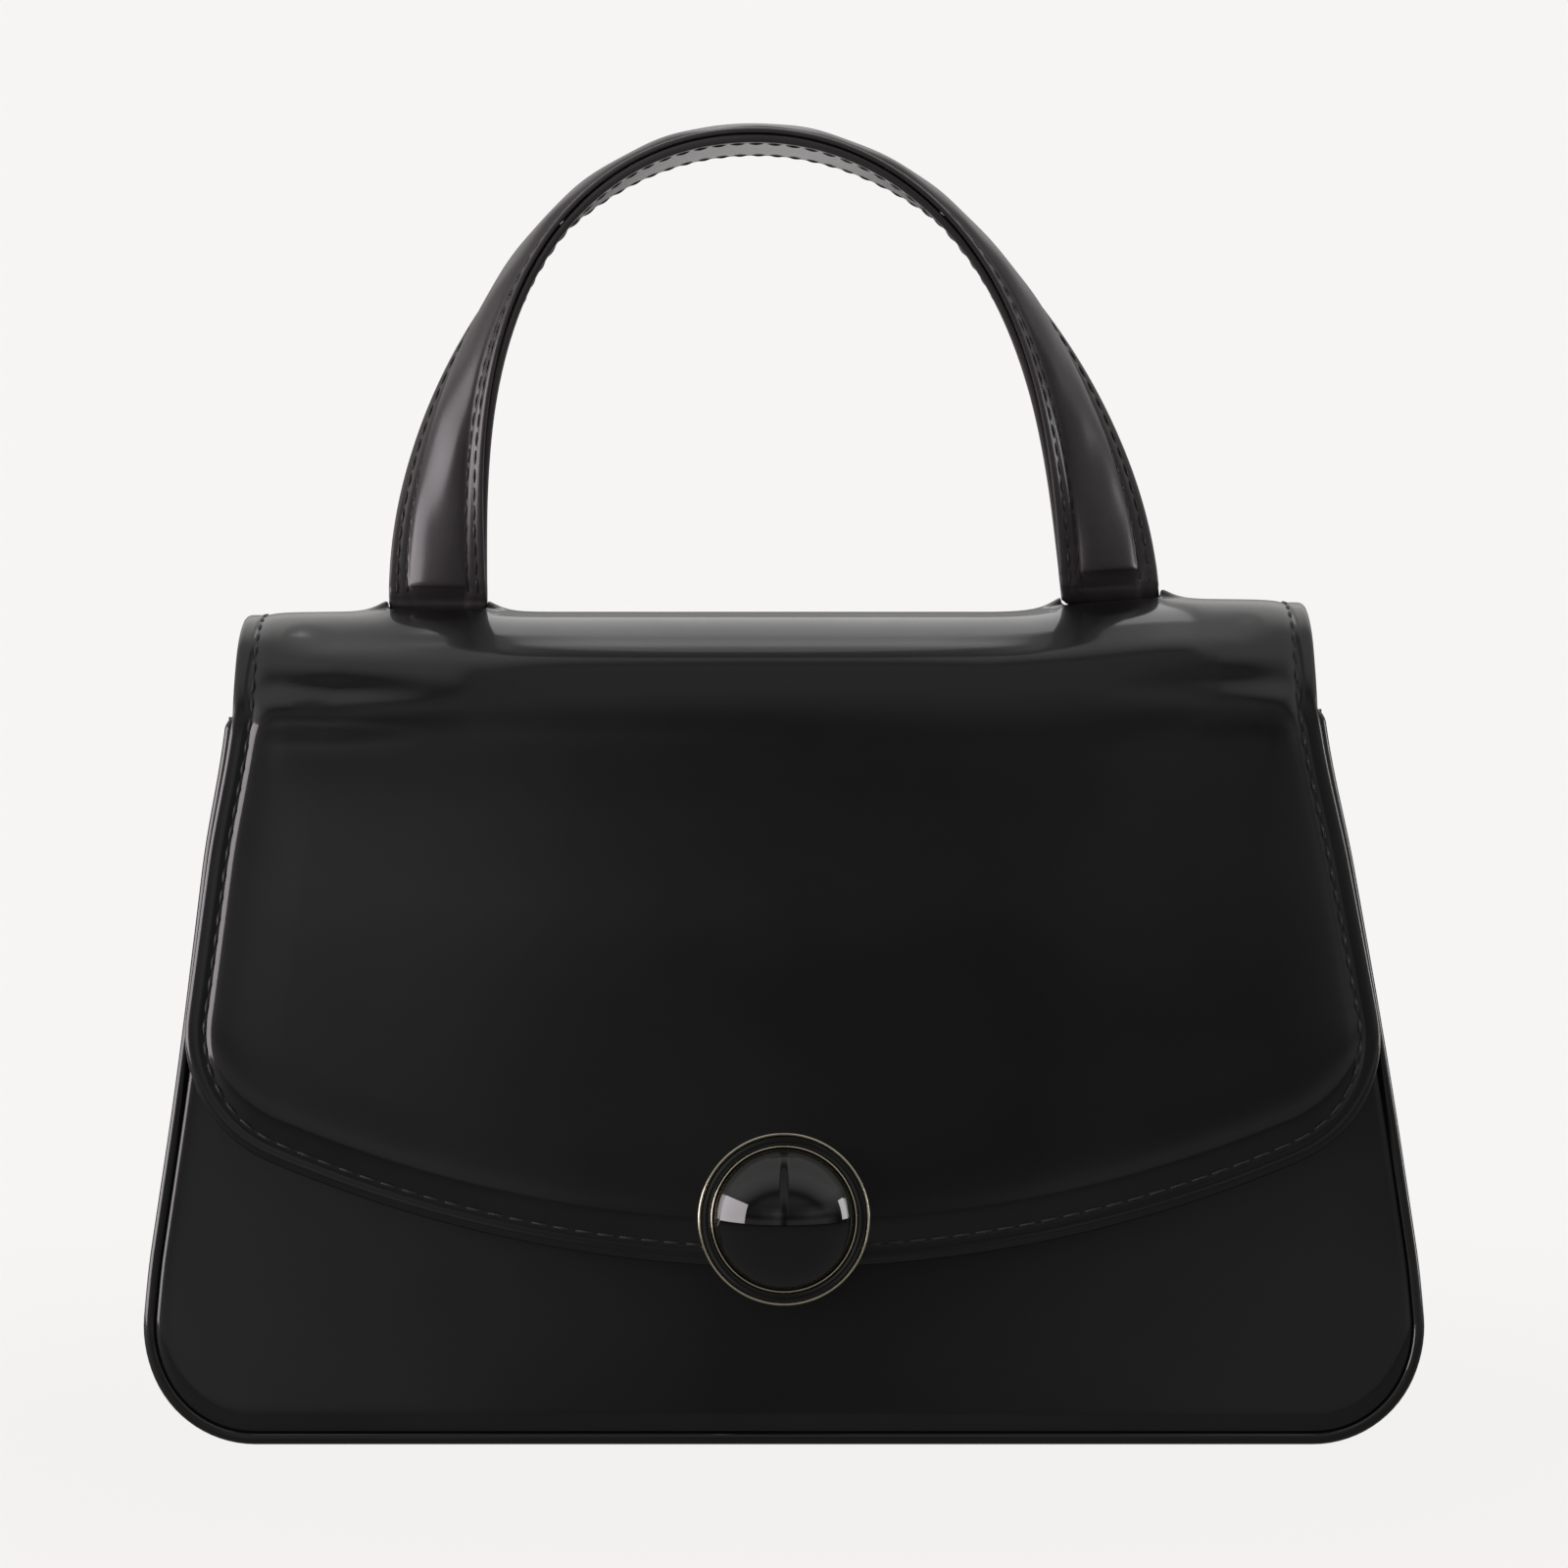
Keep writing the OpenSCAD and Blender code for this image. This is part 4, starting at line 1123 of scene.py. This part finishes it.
def make_ornament():
    dress(lathe("ornament_rims", SETTING), GILT, "flap", ["ornament_setting"])
    dress(lathe("ornament_enamel", RING), ENAMEL, "flap", ["ornament_ring"])
    radius = (STONE_R ** 2 + STONE_RISE ** 2) / (2 * STONE_RISE)
    stone = list(STONE_BASE)
    for t in np.linspace(1, 0, 40)[1:]:
        a = math.asin(STONE_R / radius) * t
        height = STONE_FOOT + STONE_RISE - radius + radius * math.cos(a)
        stone.append((max(radius * math.sin(a), AXIS), height))
    dress(lathe("ornament_cabochon", stone), STONE, "flap", ["ornament_stone"])


# Stage

BACKGROUND, FLOOR_COLOR, FLOOR_R = (0.930, 0.913, 0.905), (0.64, 0.63, 0.62), 3.0
# Brightness of the studio in mirrors, as (place, level): overhead from the front to the back
OVERHEAD = [
    (0.0, 0.07), (0.05, 0.2), (0.13, 0.32), (0.21, 0.3), (0.32, 0.25), (0.4, 0.23), (0.448, 0.12),
    (0.472, 0.12), (0.52, 0.38), (0.57, 0.52), (0.62, 0.6), (0.68, 0.62), (0.74, 0.55), (0.84, 0.5),
    (0.9, 0.55), (0.97, 0.85), (1.0, 0.95),
]
# A strip in front, from the left to the right and from low to high
STRIP_ACROSS = [
    (0.2, 0.1), (0.35, 0.5), (0.43, 1.0), (0.5, 0.25), (0.56, 0.05), (0.7, 0.3), (0.8, 0.7), (0.95, 0.7),
]
STRIP_UP = [(0.0, 0.2), (0.16, 0.55), (0.23, 1.0), (0.3, 0.5), (0.4, 0.0)]
STRIP_LEVEL, LAMP_LEVEL = 0.42, 0.35
CAMERA_AT, CAMERA_LENS = (0, -0.94, 0.135), 101.25


def background(tree, color, strength=1.0):
    node = tree.nodes.new("ShaderNodeBackground")
    node.inputs[0].default_value = (*color, 1)
    node.inputs[1].default_value = strength
    return node


def make_world():
    """Even light on the surfaces, a studio for the mirrors and the pale background for the camera."""
    world = bpy.data.worlds.new("studio")
    bpy.context.scene.world = world
    tree, out = fresh_tree(world, "ShaderNodeOutputWorld")
    coords = tree.nodes.new("ShaderNodeTexCoord").outputs["Generated"]
    x, y, z = split(tree, coords)
    # Bright overhead and behind, dark in front, and the light reaches lower at the sides
    behind = measure(tree, "DOT_PRODUCT", coords, (0, 0.4, 0.18))
    beside = combine(tree, "ABSOLUTE", x)
    aside = combine(
        tree, "ADD", span(tree, beside, 0.02, 0.06, 0.32, 0.35), span(tree, beside, 0.06, 0.105, 0.0, 0.28))
    over = ramp(tree, combine(tree, "ADD", behind, aside), grey(OVERHEAD))
    over = combine(tree, "MULTIPLY", over, span(tree, z, 0.1, 0.5, 0.12, 1.0))
    # A dim, soft strip left of the camera, and a dimmer glow low down on both sides
    strip = ramp(tree, span(tree, x, -1.0, 1.0, 0.0, 1.0), grey(STRIP_ACROSS))
    strip = combine(tree, "MULTIPLY", strip, ramp(tree, z, grey(STRIP_UP)))
    strip = combine(tree, "MULTIPLY", strip, STRIP_LEVEL)
    low = combine(
        tree, "MULTIPLY", span(tree, beside, 0.01, 0.12, 0.03, 0.22), span(tree, z, 0.06, 0.14, 1.0, 0.0))
    strip = combine(tree, "ADD", strip, low)
    strip = combine(tree, "MULTIPLY", strip, span(tree, y, -0.5, -0.2, 1.0, 0.0))
    lamp = background(tree, (1, 1, 1), LAMP_LEVEL)
    mirror = background(tree, BACKGROUND)
    tree.links.new(combine(tree, "ADD", over, strip), mirror.inputs[1])
    shown = background(tree, BACKGROUND)
    camera, glossy = ray_kinds(tree)
    first = mix(tree, glossy, lamp.outputs[0], mirror.outputs[0])
    tree.links.new(mix(tree, camera, first, shown.outputs[0]), out.inputs[0])


def make_floor():
    """Round floor that keeps the bag's shadow and is as pale as the background around it."""
    mesh = bpy.data.meshes.new("floor")
    rim = FLOOR_R * circle(whole_turn(64))
    mesh.from_pydata([(x, y, 0) for x, y in rim.tolist()], [], [tuple(range(64))])
    floor = add_object("floor", mesh)
    mat = bpy.data.materials.new("pale_floor")
    tree, out = fresh_tree(mat, "ShaderNodeOutputMaterial")
    plain = tree.nodes.new("ShaderNodeBsdfDiffuse")
    plain.inputs[0].default_value = (*FLOOR_COLOR, 1)
    glow = tree.nodes.new("ShaderNodeEmission")
    glow.inputs[0].default_value = (*BACKGROUND, 1)
    coords = tree.nodes.new("ShaderNodeTexCoord").outputs["Object"]
    length = measure(tree, "LENGTH", coords)
    camera, mirror = ray_kinds(tree)
    near = combine(tree, "MULTIPLY", camera, span(tree, length, 0.16, 0.45, 0.95, 1.0))
    # Glossy rays see the floor as the studio's: dark in front, pale behind
    front = span(tree, length, 0.2, 1.6, 0.16, 0.05)
    behind = span(tree, split(tree, coords)[1], 0.0, 0.8, 0.0, 1.0)
    level = combine(tree, "MAXIMUM", camera, combine(tree, "MAXIMUM", front, behind))
    tree.links.new(level, glow.inputs[1])
    seen = combine(tree, "MAXIMUM", near, mirror)
    tree.links.new(mix(tree, seen, plain.outputs[0], glow.outputs[0]), out.inputs[0])
    mesh.materials.append(mat)


def soft_box(name, azimuth, elevation, distance, size, radiance, color=(1, 1, 1), aim=(0, 0, 0.12)):
    """Area light that faces the bag. Azimuth 0 is the camera's side, and 90 is its right."""
    light = bpy.data.lights.new(name, "AREA")
    light.shape = "RECTANGLE"
    light.size, light.size_y = size
    light.energy = radiance * math.pi * size[0] * size[1]
    light.color = color
    lamp = add_object(name, light)
    level = cosd(elevation)
    away = np.array([sind(azimuth) * level, -cosd(azimuth) * level, sind(elevation)])
    lamp.location = np.array(aim) + distance * away
    lamp.rotation_mode = "QUATERNION"
    lamp.rotation_quaternion = Vector(away).to_track_quat("Z", "Y")


def make_lights():
    soft_box("left_box", -77, 8.5, 1.2, (1.1, 0.52), 5.0, (1.0, 0.93, 0.97))
    soft_box("right_box", 92.5, 8, 1.3, (0.435, 0.45), 5.0)
    soft_box("top_box", 0, 90, 1.08, (0.34, 1.0), 1.15, aim=(0, 0.88, 0.12))


def make_camera():
    """Level and straight in front of the bag, as in the photo."""
    data = bpy.data.cameras.new("camera")
    data.lens, data.sensor_width = CAMERA_LENS, 36
    data.clip_start, data.clip_end = 0.01, 100
    camera = add_object("camera", data)
    camera.location = CAMERA_AT
    camera.rotation_euler = (math.pi / 2, 0, 0)
    bpy.context.scene.camera = camera


# Build

bpy.context.scene.view_settings.view_transform = "Standard"
make_camera()
make_world()
make_lights()
make_floor()
make_panels()
make_piping()
make_gusset()
make_linings()
make_top_edge()
make_floor_board()
make_pocket()
make_flap()
make_mounds()
make_fold()
make_strap()
make_cover()
make_handle_stitching()
make_ornament()
for node in ("left_handle_anchor", "right_handle_anchor", "handle_pins", "anchor_rivets"):
    paint_node(node, STEEL)
for node in ("snap_magnet", "magnet_washer", "snap_washer", "snap_stud"):
    paint_node(node, GILT)
